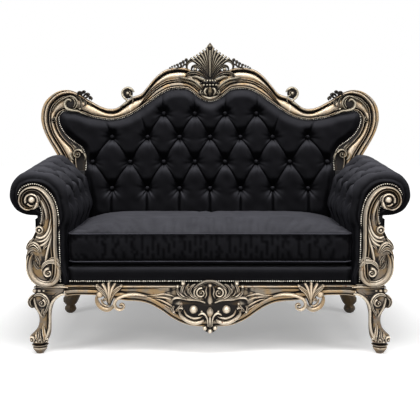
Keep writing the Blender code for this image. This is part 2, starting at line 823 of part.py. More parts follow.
def make_legs(gilt, steel):
    """Cabriole legs; the rear ones are the front ones turned round and drawn in under the posts."""
    middle = back_y(RAIL_TOP, (FRAME_BACK - POST_FRONT) / 2)
    deep = (FRAME_BACK + POST_FRONT) / 2
    top = LEG[-1][0]
    front, rear = [], []
    for z, outer, inner, y0, y1, square in LEG:
        height = z if z < top else RAIL_TOP - GAP
        front.append(oval(height, FRONT_LEG_X + inner, FRONT_LEG_X + outer, y0, y1, square))
        up = ease((z - LEG_STRAIGHT) / LEG_SWEEP)
        spots = (
            REAR_LEG_X + inner + (POST_INNER - REAR_LEG_X - inner) * up,
            REAR_LEG_X + outer + (POST_INNER + POST_WIDE - REAR_LEG_X - outer) * up,
            REAR_LEG_Y - y1 + (middle - deep - REAR_LEG_Y + y1) * up,
            REAR_LEG_Y - y0 + (middle + deep - REAR_LEG_Y + y0) * up,
        )
        rear.append(oval(height, *spots, square))
    for side, mark in ((-1, "l"), (1, "r")):
        leg = put(f"front_leg_{mark}", stack(front), gilt, (FRONT_LEG_X, 0, 0), side)
        combine(leg, bolt_hole(f"front_bore_{mark}", LEG_INNER, front_bolt_y(), steel, side), "DIFFERENCE")
        leg = put(f"rear_leg_{mark}", stack(rear), gilt, (REAR_LEG_X, REAR_LEG_Y, 0), side)
        combine(leg, bolt_hole(f"rear_bore_{mark}", POST_INNER, rear_bolt_y(), steel, side), "DIFFERENCE")


def bolt_z():
    return (SPRING_RAIL_LOW + RAIL_TOP) / 2


def block_front_y():
    """Front face of the front corner blocks, behind the front spring rail."""
    return FRONT_Y + 2 * RAIL_THICK + 2 * GAP


def front_bolt_y():
    return (block_front_y() + LEG_BACK) / 2


def rear_bolt_y():
    return (back_y(RAIL_TOP, -POST_FRONT) + rear_rail_front()) / 2


def rod(x0, x1, y, z, radius, sides=12):
    """A cylinder along X."""
    bm = bmesh.new()
    bmesh.ops.create_cone(bm, cap_ends=True, segments=sides, radius1=radius, radius2=radius, depth=1)
    for v in bm.verts:
        v.co = Vector((x0 + (x1 - x0) * (v.co.z + 0.5), y + v.co.x, z + v.co.y))
    return bm


def bolt_hole(name, leg_x, y, material, side):
    start = leg_x - GAP - BLOCK_LONG - BORE_OVERRUN
    tip = leg_x + BOLT_GRIP + GAP
    return put(name, rod(start, tip, y, bolt_z(), BOLT_RADIUS + GAP), material, (leg_x, y, bolt_z()), side)


def make_corner(name, leg_x, bolt_y, y0, beech, steel, side, mark):
    """A glue block behind a leg, and the bolt that draws the leg to it."""
    high = (leg_x - GAP, y0 + BLOCK_DEEP, RAIL_TOP - GAP)
    low = (high[0] - BLOCK_LONG, y0, SPRING_RAIL_LOW)
    made = put(f"{name}_corner_block_{mark}", eased_block(low, high, BLOCK_EASE), beech, low, side)
    combine(made, bolt_hole(f"{name}_block_bore_{mark}", leg_x, bolt_y, steel, side), "DIFFERENCE")
    head = low[0] - GAP
    shaft = rod(head - BOLT_HEAD_THICK / 2, leg_x + BOLT_GRIP, bolt_y, bolt_z(), BOLT_RADIUS)
    bolt = put(f"{name}_leg_bolt_{mark}", shaft, steel, (leg_x, bolt_y, bolt_z()), side)
    hexagon = rod(head - BOLT_HEAD_THICK, head, bolt_y, bolt_z(), BOLT_HEAD, 6)
    combine(bolt, put(f"{name}_bolt_head_{mark}", hexagon, steel, (head, bolt_y, bolt_z()), side), "UNION")


def make_back_frame(gilt, beech):
    joint = STILE_X + STILE[-1][0]
    over = -CARVING_DEEP - GAP
    for side, mark in ((-1, "l"), (1, "r")):
        foot = (STILE_X, back_y(STILE_FOOT_Z), STILE_FOOT_Z)
        stile = strap(stile_spots(), FRAME_SECTION, FRAME_BACK)
        put(f"back_stile_{mark}", leaned(stile), gilt, foot, side)
        crest = strap(crest_spots(), FRAME_SECTION, FRAME_BACK)
        put(f"crest_rail_{mark}", leaned(crest), gilt, on_back(joint, CREST[0][1]), side)
        make_crest_volute(gilt, over, side, mark)
        make_shoulder_leaf(gilt, over, side, mark)
        make_stile_scroll(gilt, over, side, mark)
        high = (POST_INNER + POST_WIDE, FRAME_BACK, STILE_FOOT_Z - GAP)
        post = block((POST_INNER, -POST_FRONT, RAIL_TOP), high)
        put(f"back_post_{mark}", leaned(post), beech, (POST_INNER, back_y(RAIL_TOP), RAIL_TOP), side)
    low = (GAP - POST_INNER, -CROSS_RAIL_FRONT, CROSS_RAIL_LOW)
    rail = block(low, (POST_INNER - GAP, FRAME_BACK, BACK_PAD_LOW - GAP))
    put("back_cross_rail", leaned(rail), beech, (0, back_y(CROSS_RAIL_LOW), CROSS_RAIL_LOW))
    board = prism(pad_outline(GAP), BOARD_AT, BOARD_AT + BOARD_THICK)
    put("back_board", leaned(board), beech, (0, back_y(BACK_PAD_LOW), BACK_PAD_LOW))


def on_back(x, z):
    """The origin of an ornament that lies on the back at (x, z)."""
    return x, back_y(z), z


def grow(made, bm, side):
    """Joins a solid to an ornament that is already placed."""
    spot = (side * made.location.x, made.location.y, made.location.z)
    name = f"{made.name}_growth_{len(made.modifiers)}"
    combine(made, put(name, bm, made.data.materials[0], spot, side), "UNION")


def make_crest_volute(gilt, over, side, mark):
    """The scroll in which the shoulder's roll ends, with its stem lying over the frame's joint."""
    place = on_back(STILE_X + CREST_SCROLL[0], CREST_SCROLL[1])
    made = put(f"crest_volute_{mark}", leaned(curl(CREST_SCROLL, STILE_X, over, 16, 8)), gilt, place, side)
    stem = [(ax + STILE_X, az, bx + STILE_X, bz) for ax, az, bx, bz in CREST_STEM]
    grow(made, leaned(shifted(strap(smooth(stem, 9), SCROLL_SECTION), over - SINK / 2)), side)


def make_shoulder_leaf(gilt, over, side, mark):
    """A small scroll on the shoulder, with a spray of leaves that lies along the stile's top."""
    place = on_back(STILE_X + SHOULDER_LEAVES[0], SHOULDER_LEAVES[1])

    def reach(share):
        return SHOULDER_REACH + SHOULDER_SWELL * math.sin(math.pi * share)

    spray = leaves(SHOULDER_LEAVES, STILE_X, over, reach)
    made = put(f"shoulder_leaf_{mark}", leaned(spray), gilt, place, side)
    grow(made, leaned(curl(SHOULDER_SCROLL, STILE_X, over - SINK)), side)


def make_stile_scroll(gilt, over, side, mark):
    """The scroll on the stile's foot, with one leaf that runs up from it."""
    place = on_back(STILE_X + STILE_LEAVES[0], STILE_LEAVES[1])

    def reach(share):
        return STILE_REACH - STILE_FALL * abs(share - 0.6)

    leaf = leaves(STILE_LEAVES, STILE_X, over, reach)
    made = put(f"stile_scroll_{mark}", leaned(leaf), gilt, place, side)
    grow(made, leaned(curl(STILE_SCROLL, STILE_X, over - SINK)), side)


def make_palmette(gilt):
    """The fluted shell at the middle of the crest, its collar and the drop below it."""
    over = -CARVING_DEEP - GAP

    def reach(share):
        aside = abs(share - 0.5) * 2
        step = PALMETTE_STEP * ease(aside / 0.35)
        return PALMETTE_REACH - step - PALMETTE_FALL * ease((aside - 0.35) / 0.65)

    made = put("crest_palmette", leaned(leaves(PALMETTE, 0.0, over, reach)), gilt, on_back(*PALMETTE[:2]))
    for shape in (PALMETTE_COLLAR, PALMETTE_DROP):
        grow(made, leaned(bead(shape, 0.0, over)), 1)


def make_apron(gilt):
    """The ornaments of the front rail."""
    seat = FRONT_Y - RAIL_FIELD - GAP
    half = [(x, low, x, high) for x, low, high in CARTOUCHE]
    pairs = [(-ax, az, -bx, bz) for ax, az, bx, bz in reversed(half[1:])] + half
    plate = strap(smooth(pairs, 21), CARTOUCHE_SECTION)
    made = put("apron_cartouche", shifted(plate, seat), gilt, (0, seat, APRON_BEAD[1]))

    def reach(share):
        return APRON_REACH + APRON_SWELL * abs(2 * share - 1)

    for shape in (APRON_DROP, APRON_END):
        grow(made, bead(shape, 0.0, seat), 1)
    for side, mark in ((-1, "l"), (1, "r")):
        grow(made, bead(APRON_BEAD, 0.0, seat), side)
        sheaf = leaves(APRON_LEAVES, 0.0, seat, reach)
        leaf = put(f"apron_leaf_{mark}", sheaf, gilt, (APRON_LEAVES[0], seat, APRON_LEAVES[1]), side)
        grow(leaf, shifted(strap(smooth(APRON_CURL, 13), SCROLL_SECTION), seat - SINK), side)
        grow(leaf, curl(APRON_SCROLL, 0.0, seat - SINK / 2), side)


def make_arms(gilt, beech, velvet):
    for side, mark in ((-1, "l"), (1, "r")):
        make_arm_post(gilt, side, mark)
        board = prism(arm_profile(0.0), ARM_FRAME_START, 1.0)
        trim_to_back(board, -POST_FRONT - GAP)
        put(f"arm_frame_{mark}", board, beech, (ARM_BOARD_X, ARM_FRAME_START, RAIL_TOP), side)
        pad = put(f"arm_pad_{mark}", arm_padding(), velvet, (ARM_X, FRONT_Y, RAIL_TOP), side)
        pocket = prism(arm_profile(GAP), ARM_FRAME_START - GAP, 1.0)
        tool = put(f"arm_pocket_{mark}", pocket, beech, (ARM_BOARD_X, 0, RAIL_TOP), side)
        combine(pad, tool, "DIFFERENCE")
        out = ARM_BOARD_X + ARM_BOARD_THICK + GAP
        low = (out, FRONT_Y + ARM_COVER_BACK, RAIL_TOP + GAP)
        cover = block(low, (out + ARM_COVER_THICK, 0, ARM_NECK_Z - GAP), -POST_FRONT - GAP)
        put(f"arm_cover_{mark}", cover, velvet, low, side)


def trim_to_back(bm, depth):
    """Moves the rear end of a prism on to the leaning plane at that depth."""
    for v in bm.verts:
        if v.co.y > 0.5:
            v.co.y = back_y(v.co.z, depth)


def arm_profile(grow):
    """Upright board and scroll head of the arm's frame, grown by a clearance."""
    inner, outer = ARM_BOARD_X, ARM_BOARD_X + ARM_BOARD_THICK
    head = ARM_BOARD_X + ARM_HEAD_WIDE
    under = ARM_HEAD_TOP - ARM_HEAD_THICK
    low = RAIL_TOP - (BORE_OVERRUN if grow else 0.0)
    return [
        (inner - grow, low),
        (outer + grow, low),
        (outer + grow, under - grow - ARM_HEAD_SLOPE),
        (head + grow, under - grow),
        (head + grow, ARM_HEAD_TOP + grow),
        (inner - grow, ARM_HEAD_TOP + grow),
    ]


def make_arm_post(gilt, side, mark):
    seat = FRONT_Y - GAP
    pairs = [(ax + ARM_X, az, bx + ARM_X, bz) for ax, az, bx, bz in ARM_POST]
    moulding = shifted(strap(smooth(pairs, 31), POST_SECTION), seat)
    post = put(f"arm_post_{mark}", moulding, gilt, (ARM_X, seat, POST_ROSETTE[1]), side)
    grow(post, curl(POST_SCROLL, ARM_X, seat - SINK), side)
    for shape in (POST_ROSETTE, POST_EYE):
        grow(post, bead(shape, ARM_X, seat - SINK), side)


def arm_padding():
    """The padded roll: sections that follow the arm back to the post, rising and flaring a little."""
    around, along = 25, 18
    foot = (ARM_SECTION[0][0], RAIL_TOP + GAP)
    line = smooth((foot, *ARM_SECTION), around)
    normals = [(x - a, z - b) for (x, z), (a, b) in zip(moved(line, -1.0), line)]
    run = [0.0]
    for a, b in zip(line, line[1:]):
        run.append(run[-1] + math.dist(a, b))
    outer = -ARM_BOARD_IN - ARM_BOARD_PLAY
    closing = [(-ARM_NECK_IN, ARM_NECK_Z), (outer, ARM_NECK_Z), (outer, foot[1])]
    creases, pleats = arm_tufts(run[-1])
    rings = []
    for k in range(along + 1):
        share = k / along
        ring = []
        for (x, z), (nx, nz), s in zip(line, normals, run):
            y = FRONT_Y + share * (arm_end_y(z) - FRONT_Y)
            low = 1 - tufted((s, y), creases, pleats)
            dip = ARM_TUFT_DEEP * low * ease((s - ARM_TUFT_RUN) / ARM_TUFT_RUN)
            front = 1 - puff((y - FRONT_Y) / ARM_FRONT_ROLL)
            dip += ARM_FRONT_DEEP * front * ease((s - ARM_FRONT_FROM) / ARM_TUFT_RUN)
            dip *= ease((run[-1] + ARM_END_PLAY - s) / ARM_END_RUN)
            ring.append(arm_spot(x + nx * dip, y, z + nz * dip, share))
        for x, z in closing:
            ring.append(arm_spot(x, FRONT_Y + share * (arm_end_y(z) - FRONT_Y), z, share))
        rings.append(ring)
    return stack(rings)


def arm_end_y(z):
    return back_y(z, -POST_FRONT - GAP)


def arm_spot(x, y, z, share):
    """A point of the arm's section carried back: the roll rises, flares and gets rounder."""
    loose = ease((z - ARM_NECK_Z + ARM_FLARE_FROM) / ARM_FLARE_RUN)
    rise = ARM_RISE - ARM_ROUNDING * ease((-x - ARM_ROUNDING_FROM) / ARM_ROUNDING_RUN)
    return ARM_X + x + ARM_FLARE * share * loose, y, z + rise * share * loose


def arm_tufts(end):
    """Creases and pleats of an arm, as (run up the section, y)."""
    rows = []
    for s, shift in ARM_TUFT_ROWS:
        rows.append([(s, ARM_TUFT_START + ARM_TUFT_PITCH * (k + shift)) for k in range(5)])
    creases = []
    for low, high in zip(rows, rows[1:]):
        for a in low:
            creases += [(a, b) for b in high if abs(a[1] - b[1]) < 0.6 * ARM_TUFT_PITCH]
    pleats = [(a, (ARM_PLEAT_FOOT, a[1])) for a in rows[0]]
    pleats += [(a, (end, a[1])) for a in rows[-1]]
    return creases, pleats


def make_seat(beech, steel, velvet, cloth):
    inside = ARM_INNER - GAP
    front = FRONT_Y + RAIL_THICK + GAP
    rear = rear_rail_front() - GAP
    low = (-inside, front, SPRING_RAIL_LOW)
    rail = eased_block(low, (inside, front + RAIL_THICK, SPRING_RAIL_TOP), RAIL_EASE)
    put("spring_rail_front", rail, beech, (0, front, SPRING_RAIL_LOW))
    reach = POST_INNER - BLOCK_LONG - 2 * BOLT_HEAD_THICK
    low = (-reach, rear - RAIL_THICK, SPRING_RAIL_LOW)
    rail = eased_block(low, (reach, rear, SPRING_RAIL_TOP), RAIL_EASE)
    put("spring_rail_rear", rail, beech, (0, rear, SPRING_RAIL_LOW))
    for k in range(SPRINGS):
        x = (k - (SPRINGS - 1) / 2) * 2 * (inside - SPRING_MARGIN) / SPRINGS
        make_spring(f"seat_spring_{k + 1}", x, front + SPRING_END, rear - SPRING_END, steel)
    wires = SPRING_RAIL_TOP + 2 * GAP + 2 * SPRING_WIRE
    deck = eased_block((-inside, front, wires), (inside, rear, DECK_TOP), DECK_EASE)
    put("deck_pad", deck, cloth, (0, front, wires))
    under = SPRING_RAIL_LOW - GAP
    dust = block((GAP - LEG_INNER, front, under - DUST_THICK), (LEG_INNER - GAP, rear, under))
    put("dust_cover", dust, cloth, (0, front, under))
    face = FRONT_Y + BORDER_BACK
    low = (-inside, face, RAIL_TOP + GAP)
    border = eased_block(low, (inside, face + BORDER_THICK, DECK_TOP), BORDER_EASE)
    put("front_border", border, velvet, (0, face, RAIL_TOP))
    put("seat_cushion", cushion(), velvet, (0, CUSHION_FRONT, DECK_TOP + GAP))
    for side, mark in ((-1, "l"), (1, "r")):
        make_corner("front", LEG_INNER, front_bolt_y(), block_front_y(), beech, steel, side, mark)
        make_corner("rear", POST_INNER, rear_bolt_y(), rear - BLOCK_DEEP, beech, steel, side, mark)


def make_spring(name, x, y0, y1, steel):
    """A zigzag wire spring that runs from front to back on the spring rails."""
    z = SPRING_RAIL_TOP + GAP + SPRING_WIRE
    line = [(x, y0)]
    for k in range(SPRING_ZIGZAGS):
        reach = SPRING_WIDE / 2 * (1 if k % 2 else -1)
        line += [(x + reach, y0 + (y1 - y0) * (k + step) / SPRING_ZIGZAGS) for step in (0.25, 0.75)]
    line.append((x, y1))
    left = moved(line, SPRING_WIRE)
    rings = []
    for (ax, ay), (bx, by) in zip(line, left):
        right = (2 * ax - bx, 2 * ay - by, z)
        rings.append([(bx, by, z), (ax, ay, z + SPRING_WIRE), right, (ax, ay, z - SPRING_WIRE)])
    put(name, stack(rings), steel, (x, y0, z))


def cushion():
    """The loose box cushion: crowned on top, its four sides drawn in between the corners."""
    half = ARM_INNER - CUSHION_PLAY
    back = back_y(DECK_TOP + CUSHION_THICK / 2, -BACK_PAD_THICK) - CUSHION_PLAY
    middle, reach = (CUSHION_FRONT + back) / 2, (back - CUSHION_FRONT) / 2
    bm = bmesh.new()
    bmesh.ops.create_cube(bm, size=2)
    bmesh.ops.subdivide_edges(bm, edges=bm.edges[:], cuts=6, use_grid_fill=True)
    for v in bm.verts:
        a, b, c = v.co
        pull_x = CUSHION_PULL * (1 - b**2) - CUSHION_SWELL * (1 - c**2)
        pull_y = CUSHION_PULL * (1 - a**2) - CUSHION_SWELL * (1 - c**2)
        high = CUSHION_THICK + CUSHION_CROWN * (1 - a**4) * (1 - b**4)
        edge = CUSHION_EDGE * (abs(c) > 0.99)
        x = a * (half - CUSHION_SWELL - pull_x - edge)
        y = middle + b * (reach - CUSHION_SWELL - pull_y - edge)
        v.co = Vector((x, y, DECK_TOP + GAP + high * (c + 1) / 2))
    return bm


def make_back_padding(velvet):
    """The deep buttoned pad that fills the frame, and the flat cover on the outside."""
    rows, columns, split = 7, 9, 4
    outline = pad_outline(GAP)
    creases, pleats = back_tufts()
    nx, nz = columns * split, rows * 2

    def spot(i, j):
        return column_x(i / split - columns / 2), row_z(-1.5 + rows * (1 - j / nz))

    def face(i, j):
        x, z = spot(i, j)
        sides = zip(outline, outline[1:] + outline[:1])
        edge = min(segment_distance((x, z), a, b)[0] for a, b in sides)
        high = ease(edge / PAD_EDGE_ROLL) * (0.15 + 0.85 * tufted((x, z), creases, pleats))
        return x, -BACK_PAD_EDGE - (BACK_PAD_THICK - BACK_PAD_EDGE) * high, z

    def back(i, j):
        x, z = spot(i, j)
        return x, BOARD_AT - GAP, z

    pad = put("back_pad", leaned(relief(nx, nz, face, back)), velvet, on_back(0, BACK_PAD_LOW))
    rebate = pad_outline(4 * GAP + NAIL_WIDE)
    steps = ((outline, 0.1), (outline, GAP - NAIL_SEAT), (rebate, GAP - NAIL_SEAT), (rebate, -0.1))
    limit = stack([[(x, y, z) for x, z in line] for line, y in steps])
    limit = put("back_pad_limit", leaned(limit), velvet, on_back(0, BACK_PAD_LOW))
    combine(pad, limit, "INTERSECT")
    side = POST_INNER + POST_WIDE - COVER_MARGIN
    foot = [(side, RAIL_TOP + COVER_MARGIN), (side, STILE_FOOT_Z - 2 * COVER_MARGIN)]
    line = foot + frame_line(0.5)[1::2] + [(-x, z) for x, z in reversed(foot)]
    cover = prism(line, FRAME_BACK + GAP, FRAME_BACK + GAP + COVER_THICK)
    put("back_cover", leaned(cover), velvet, on_back(0, RAIL_TOP))


def make_nail_trims(brass):
    trim = shifted(strap(band(frame_line(1.0), GAP, GAP + NAIL_WIDE), RIBBON_SECTION), -NAIL_SEAT)
    put("back_nail_trim", leaned(trim), brass, on_back(0, CREST[-1][3]))
    for side, mark in ((-1, "l"), (1, "r")):
        line = smooth([(x + ARM_X, z) for x, z in ARM_NAILS], 29)
        trim = shifted(strap(band(line, -NAIL_WIDE / 2, NAIL_WIDE / 2), RIBBON_SECTION), FRONT_Y - GAP)
        put(f"arm_nail_trim_{mark}", trim, brass, (ARM_X, FRONT_Y, ARM_NECK_Z), side)
    inside = ARM_INNER - GAP
    face = FRONT_Y + BORDER_BACK - GAP
    low = (-inside, face - NAIL_DEEP, RAIL_TOP + NAIL_RAISE)
    trim = eased_block(low, (inside, face, RAIL_TOP + NAIL_RAISE + NAIL_WIDE), NAIL_EASE)
    put("front_nail_trim", trim, brass, (0, face, RAIL_TOP))


def stand_on_origin(seat_frame):
    """Moves the whole so that the middle of its depth lies over the origin."""
    bpy.context.view_layer.update()
    deps = bpy.context.evaluated_depsgraph_get()
    depths = []
    for made in bpy.data.objects:
        if made.type == "MESH" and not made.hide_render:
            shape = made.evaluated_get(deps)
            depths += [(shape.matrix_world @ Vector(corner)).y for corner in shape.bound_box]
    seat_frame.location.y = -(min(depths) + max(depths)) / 2


def main():
    clear_scene()
    seat_frame = bpy.data.objects.new("seat_frame", None)
    bpy.context.scene.collection.objects.link(seat_frame)
    gilt = finish("silver gold leaf", (0.52, 0.43, 0.30), 0.35, 0.85)
    beech = finish("bare beech", (0.55, 0.40, 0.25), 0.6, 0.0)
    velvet = finish("black velvet", (0.012, 0.012, 0.014), 0.9, 0.0)
    cloth = finish("black lining cloth", (0.02, 0.02, 0.02), 0.95, 0.0)
    steel = finish("spring steel", (0.45, 0.45, 0.46), 0.35, 1.0)
    nails = finish("nickelled nails", (0.60, 0.57, 0.52), 0.3, 1.0)
    make_rails(gilt, beech)
    make_legs(gilt, steel)
    make_back_frame(gilt, beech)
    make_palmette(gilt)
    make_apron(gilt)
    make_arms(gilt, beech, velvet)
    make_seat(beech, steel, velvet, cloth)
    make_back_padding(velvet)
    make_nail_trims(nails)
    stand_on_origin(seat_frame)


main()
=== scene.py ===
"""The looks of a carved, gilded loveseat in buttoned black velvet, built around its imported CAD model.

Metres, +Z up, and whoever sits on it looks along -Y. Pieces are drawn with Y = 0 through the front
feet, as the CAD is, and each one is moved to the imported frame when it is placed. Lines of carving are
given in millimetres. Left and right pieces mirror each other across X = 0.
"""

from __future__ import annotations

import logging
import math
from dataclasses import dataclass, field, replace
from enum import Enum
from typing import Callable, Iterable, Sequence

import bmesh
import bpy
import numpy as np
from mathutils import Matrix, Vector, bvhtree


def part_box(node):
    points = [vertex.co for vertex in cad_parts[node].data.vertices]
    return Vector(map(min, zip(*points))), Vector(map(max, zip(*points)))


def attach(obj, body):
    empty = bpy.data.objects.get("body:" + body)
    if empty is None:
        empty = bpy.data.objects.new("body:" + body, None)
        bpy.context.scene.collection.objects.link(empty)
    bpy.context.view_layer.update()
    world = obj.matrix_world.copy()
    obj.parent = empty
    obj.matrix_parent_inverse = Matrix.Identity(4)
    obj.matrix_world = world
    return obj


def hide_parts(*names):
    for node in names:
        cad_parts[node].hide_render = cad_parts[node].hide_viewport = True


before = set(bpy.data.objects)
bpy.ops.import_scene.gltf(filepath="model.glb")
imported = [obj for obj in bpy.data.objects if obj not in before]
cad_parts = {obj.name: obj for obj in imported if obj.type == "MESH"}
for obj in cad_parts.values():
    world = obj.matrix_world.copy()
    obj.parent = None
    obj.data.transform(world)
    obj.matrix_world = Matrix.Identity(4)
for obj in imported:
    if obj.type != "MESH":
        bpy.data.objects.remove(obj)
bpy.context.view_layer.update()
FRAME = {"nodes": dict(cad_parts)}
LOG = logging.getLogger("loveseat")

# Clearance between pieces that would touch
GAP = 0.0003
MM = 0.001
# Edges sharper than this many degrees stay sharp: on cloth, and on nail heads
SOFT_CREASE = 75.0
NAIL_CREASE = 80.0
# Front face of the front spring rail, as drawn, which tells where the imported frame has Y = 0
SPRING_RAIL_FACE = -0.0097
FEET_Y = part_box("spring_rail_front")[0].y - SPRING_RAIL_FACE
# X of an arm's middle and of a stile's foot
ARM_X = 0.700
STILE_X = 0.640
# Front and top of the seat rail, and how far the back's wood reaches behind its front plane
FRONT_Y = -0.035
RAIL_TOP = 0.285
FRAME_BACK = 0.035
# Where the arms end, counted from that plane
ARM_REAR = -0.0363

# Outlines. Stile: (outer x, outer z, inner x, inner z), x from STILE_X, foot first
STILE = (
    (0.032, 0.700, -0.052, 0.700), (0.066, 0.767, -0.054, 0.755), (0.091, 0.805, -0.037, 0.803),
    (0.116, 0.843, 0.005, 0.835), (0.136, 0.882, 0.041, 0.866), (0.148, 0.918, 0.066, 0.905),
    (0.152, 0.948, 0.075, 0.938), (0.148, 0.985, 0.069, 0.965), (0.134, 1.019, 0.054, 0.979),
    (0.105, 1.049, 0.040, 0.983), (0.072, 1.067, 0.024, 0.983), (0.036, 1.072, 0.005, 0.981),
    (0.010, 1.067, -0.015, 0.978), (-0.025, 1.051, -0.050, 0.968), (-0.059, 1.031, -0.084, 0.955),
    (-0.087, 1.018, -0.110, 0.949), (-0.117, 1.003, -0.135, 0.945), (-0.148, 0.992, -0.157, 0.942),
    (-0.180, 0.989, -0.180, 0.941), (-0.202, 0.994, -0.202, 0.944), (-0.220, 1.005, -0.223, 0.949),
    (-0.238, 1.020, -0.246, 0.957), (-0.258, 1.034, -0.269, 0.968),
)
# Crest: the same four values from its joint with the stile to the middle, x from X = 0
CREST = (
    (0.382, 1.034, 0.371, 0.968), (0.362, 1.046, 0.348, 0.982), (0.334, 1.055, 0.325, 0.997),
    (0.316, 1.067, 0.304, 1.012), (0.288, 1.101, 0.277, 1.031), (0.255, 1.139, 0.242, 1.056),
    (0.216, 1.169, 0.200, 1.079), (0.173, 1.182, 0.163, 1.087), (0.134, 1.183, 0.128, 1.087),
    (0.106, 1.178, 0.100, 1.082), (0.086, 1.168, 0.076, 1.067), (0.059, 1.152, 0.048, 1.044),
    (0.031, 1.124, 0.022, 1.031), (0.000, 1.100, 0.000, 1.026),
)
# Arm post: (outboard x, z, inboard x, z) from the lower scroll up and round the volute, x from ARM_X
ARM_POST = (
    (-0.035, 0.2865, -0.070, 0.289), (-0.008, 0.298, -0.088, 0.303), (0.009, 0.318, -0.099, 0.325),
    (0.020, 0.342, -0.102, 0.350), (0.024, 0.370, -0.103, 0.372), (0.022, 0.398, -0.100, 0.398),
    (0.016, 0.424, -0.098, 0.424), (0.012, 0.450, -0.098, 0.450), (-0.004, 0.471, -0.099, 0.474),
    (-0.018, 0.497, -0.099, 0.500), (-0.036, 0.520, -0.100, 0.525), (-0.046, 0.545, -0.100, 0.550),
    (-0.047, 0.570, -0.098, 0.575), (-0.045, 0.592, -0.092, 0.600), (-0.040, 0.610, -0.082, 0.624),
    (-0.036, 0.626, -0.068, 0.645), (-0.028, 0.638, -0.051, 0.661), (-0.016, 0.645, -0.030, 0.671),
    (-0.002, 0.646, -0.008, 0.673), (0.010, 0.640, 0.013, 0.668), (0.018, 0.629, 0.031, 0.655),
    (0.020, 0.616, 0.041, 0.637), (0.016, 0.605, 0.044, 0.617), (0.007, 0.598, 0.039, 0.600),
    (-0.002, 0.598, 0.026, 0.586), (-0.010, 0.602, 0.008, 0.580), (-0.013, 0.608, -0.010, 0.586),
    (-0.013, 0.613, -0.020, 0.600),
)
# Arm padding, front section: (x, z) up the inner face, over the roll and under it, then (x, z) of the
# place under the carved post to which its front is drawn, x from ARM_X
ARM_SECTION = (
    (-0.138, 0.2853, -0.096, 0.2853), (-0.138, 0.360, -0.096, 0.360), (-0.138, 0.450, -0.096, 0.450),
    (-0.1405, 0.495, -0.096, 0.495), (-0.153, 0.530, -0.097, 0.535), (-0.158, 0.560, -0.096, 0.565),
    (-0.152, 0.600, -0.088, 0.595), (-0.147, 0.635, -0.078, 0.618), (-0.136, 0.668, -0.064, 0.640),
    (-0.112, 0.698, -0.048, 0.655), (-0.078, 0.722, -0.030, 0.663), (-0.040, 0.733, -0.014, 0.666),
    (0.000, 0.735, 0.004, 0.664), (0.036, 0.726, 0.018, 0.656), (0.066, 0.706, 0.030, 0.644),
    (0.087, 0.675, 0.036, 0.630), (0.094, 0.638, 0.036, 0.616), (0.087, 0.602, 0.030, 0.604),
    (0.067, 0.573, 0.020, 0.596), (0.038, 0.556, 0.010, 0.592), (0.008, 0.551, 0.000, 0.590),
    (-0.014, 0.550, -0.012, 0.590), (-0.034, 0.549, -0.034, 0.590),
)
# Nail rows of an arm, (x from ARM_X, z): round the post, and down its outer side
ARM_NAILS = (
    (0.051, 0.612), (0.053, 0.632), (0.043, 0.656), (0.026, 0.673), (0.000, 0.682), (-0.020, 0.682),
    (-0.045, 0.673), (-0.069, 0.654), (-0.088, 0.629), (-0.099, 0.601), (-0.105, 0.569),
    (-0.108, 0.539), (-0.1075, 0.485), (-0.1075, 0.420), (-0.1085, 0.360), (-0.1085, 0.292),
)
ARM_INNER_NAILS = (
    (-0.030, 0.598), (-0.038, 0.585), (-0.041, 0.563), (-0.040, 0.541), (-0.034, 0.524),
)
# Front rail: (x, z of its lower edge) from the middle to the leg
APRON = (
    (0.000, 0.114), (0.030, 0.115), (0.072, 0.118), (0.108, 0.128), (0.147, 0.148), (0.189, 0.178),
    (0.222, 0.198), (0.255, 0.211), (0.290, 0.217), (0.328, 0.219), (0.370, 0.226), (0.410, 0.235),
    (0.447, 0.241), (0.492, 0.243), (0.534, 0.243), (0.5747, 0.238),
)
# Front leg: (z, outer x, inner x, front y, rear y, squareness), x from LEG_X, foot first
LEG_X = 0.6835
LEG = (
    (0.0000, 0.015, -0.015, -0.027, 0.003, 2.0), (0.0060, 0.020, -0.020, -0.032, 0.008, 2.0),
    (0.0180, 0.027, -0.027, -0.039, 0.015, 2.0), (0.0280, 0.028, -0.028, -0.040, 0.016, 2.0),
    (0.0360, 0.030, -0.031, -0.042, 0.018, 2.0), (0.0400, 0.022, -0.024, -0.036, 0.012, 2.0),
    (0.0470, 0.028, -0.030, -0.044, 0.012, 2.2), (0.0570, 0.036, -0.036, -0.055, 0.015, 2.4),
    (0.0730, 0.036, -0.043, -0.055, 0.018, 2.4), (0.0880, 0.021, -0.045, -0.046, 0.020, 2.4),
    (0.1080, 0.006, -0.046, -0.038, 0.020, 2.4), (0.1340, 0.000, -0.046, -0.034, 0.021, 2.4),
    (0.1590, 0.002, -0.047, -0.038, 0.024, 2.6), (0.1820, 0.013, -0.051, -0.046, 0.030, 2.8),
    (0.2000, 0.026, -0.057, -0.052, 0.036, 3.0), (0.2200, 0.031, -0.069, -0.056, 0.042, 3.4),
    (0.2380, 0.020, -0.088, -0.055, 0.047, 5.0), (0.2560, 0.008, -0.1085, -0.052, 0.050, 8.0),
    (0.2847, 0.007, -0.1085, -0.051, 0.050, 8.0),
)

Array = np.ndarray
Values = np.ndarray | float
Shape = bmesh.types.BMesh
Tree = bpy.types.NodeTree
Socket = bpy.types.NodeSocket
Line = Sequence[Sequence[float]]
Ground = Callable[[Array], Array]
Placer = Callable[[Array, Array], Array]


class Body(Enum):
    """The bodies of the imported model."""

    FRAME = "frame"
    CUSHION = "cushion"


class Slot(Enum):
    """Material kinds of new pieces, which sort the leafed and velvet ones onto their lists."""

    GILT = "gilt_wood"
    VELVET = "black_velvet"
    LINING = "lining_cloth"
    NAILS = "nails"


class Side(Enum):
    """Which side of the settee a piece is on; the value is the sign of its X."""

    LEFT = -1
    RIGHT = 1

    @property
    def mark(self) -> str:
        """The ending of a piece's name."""
        return "l" if self is Side.LEFT else "r"


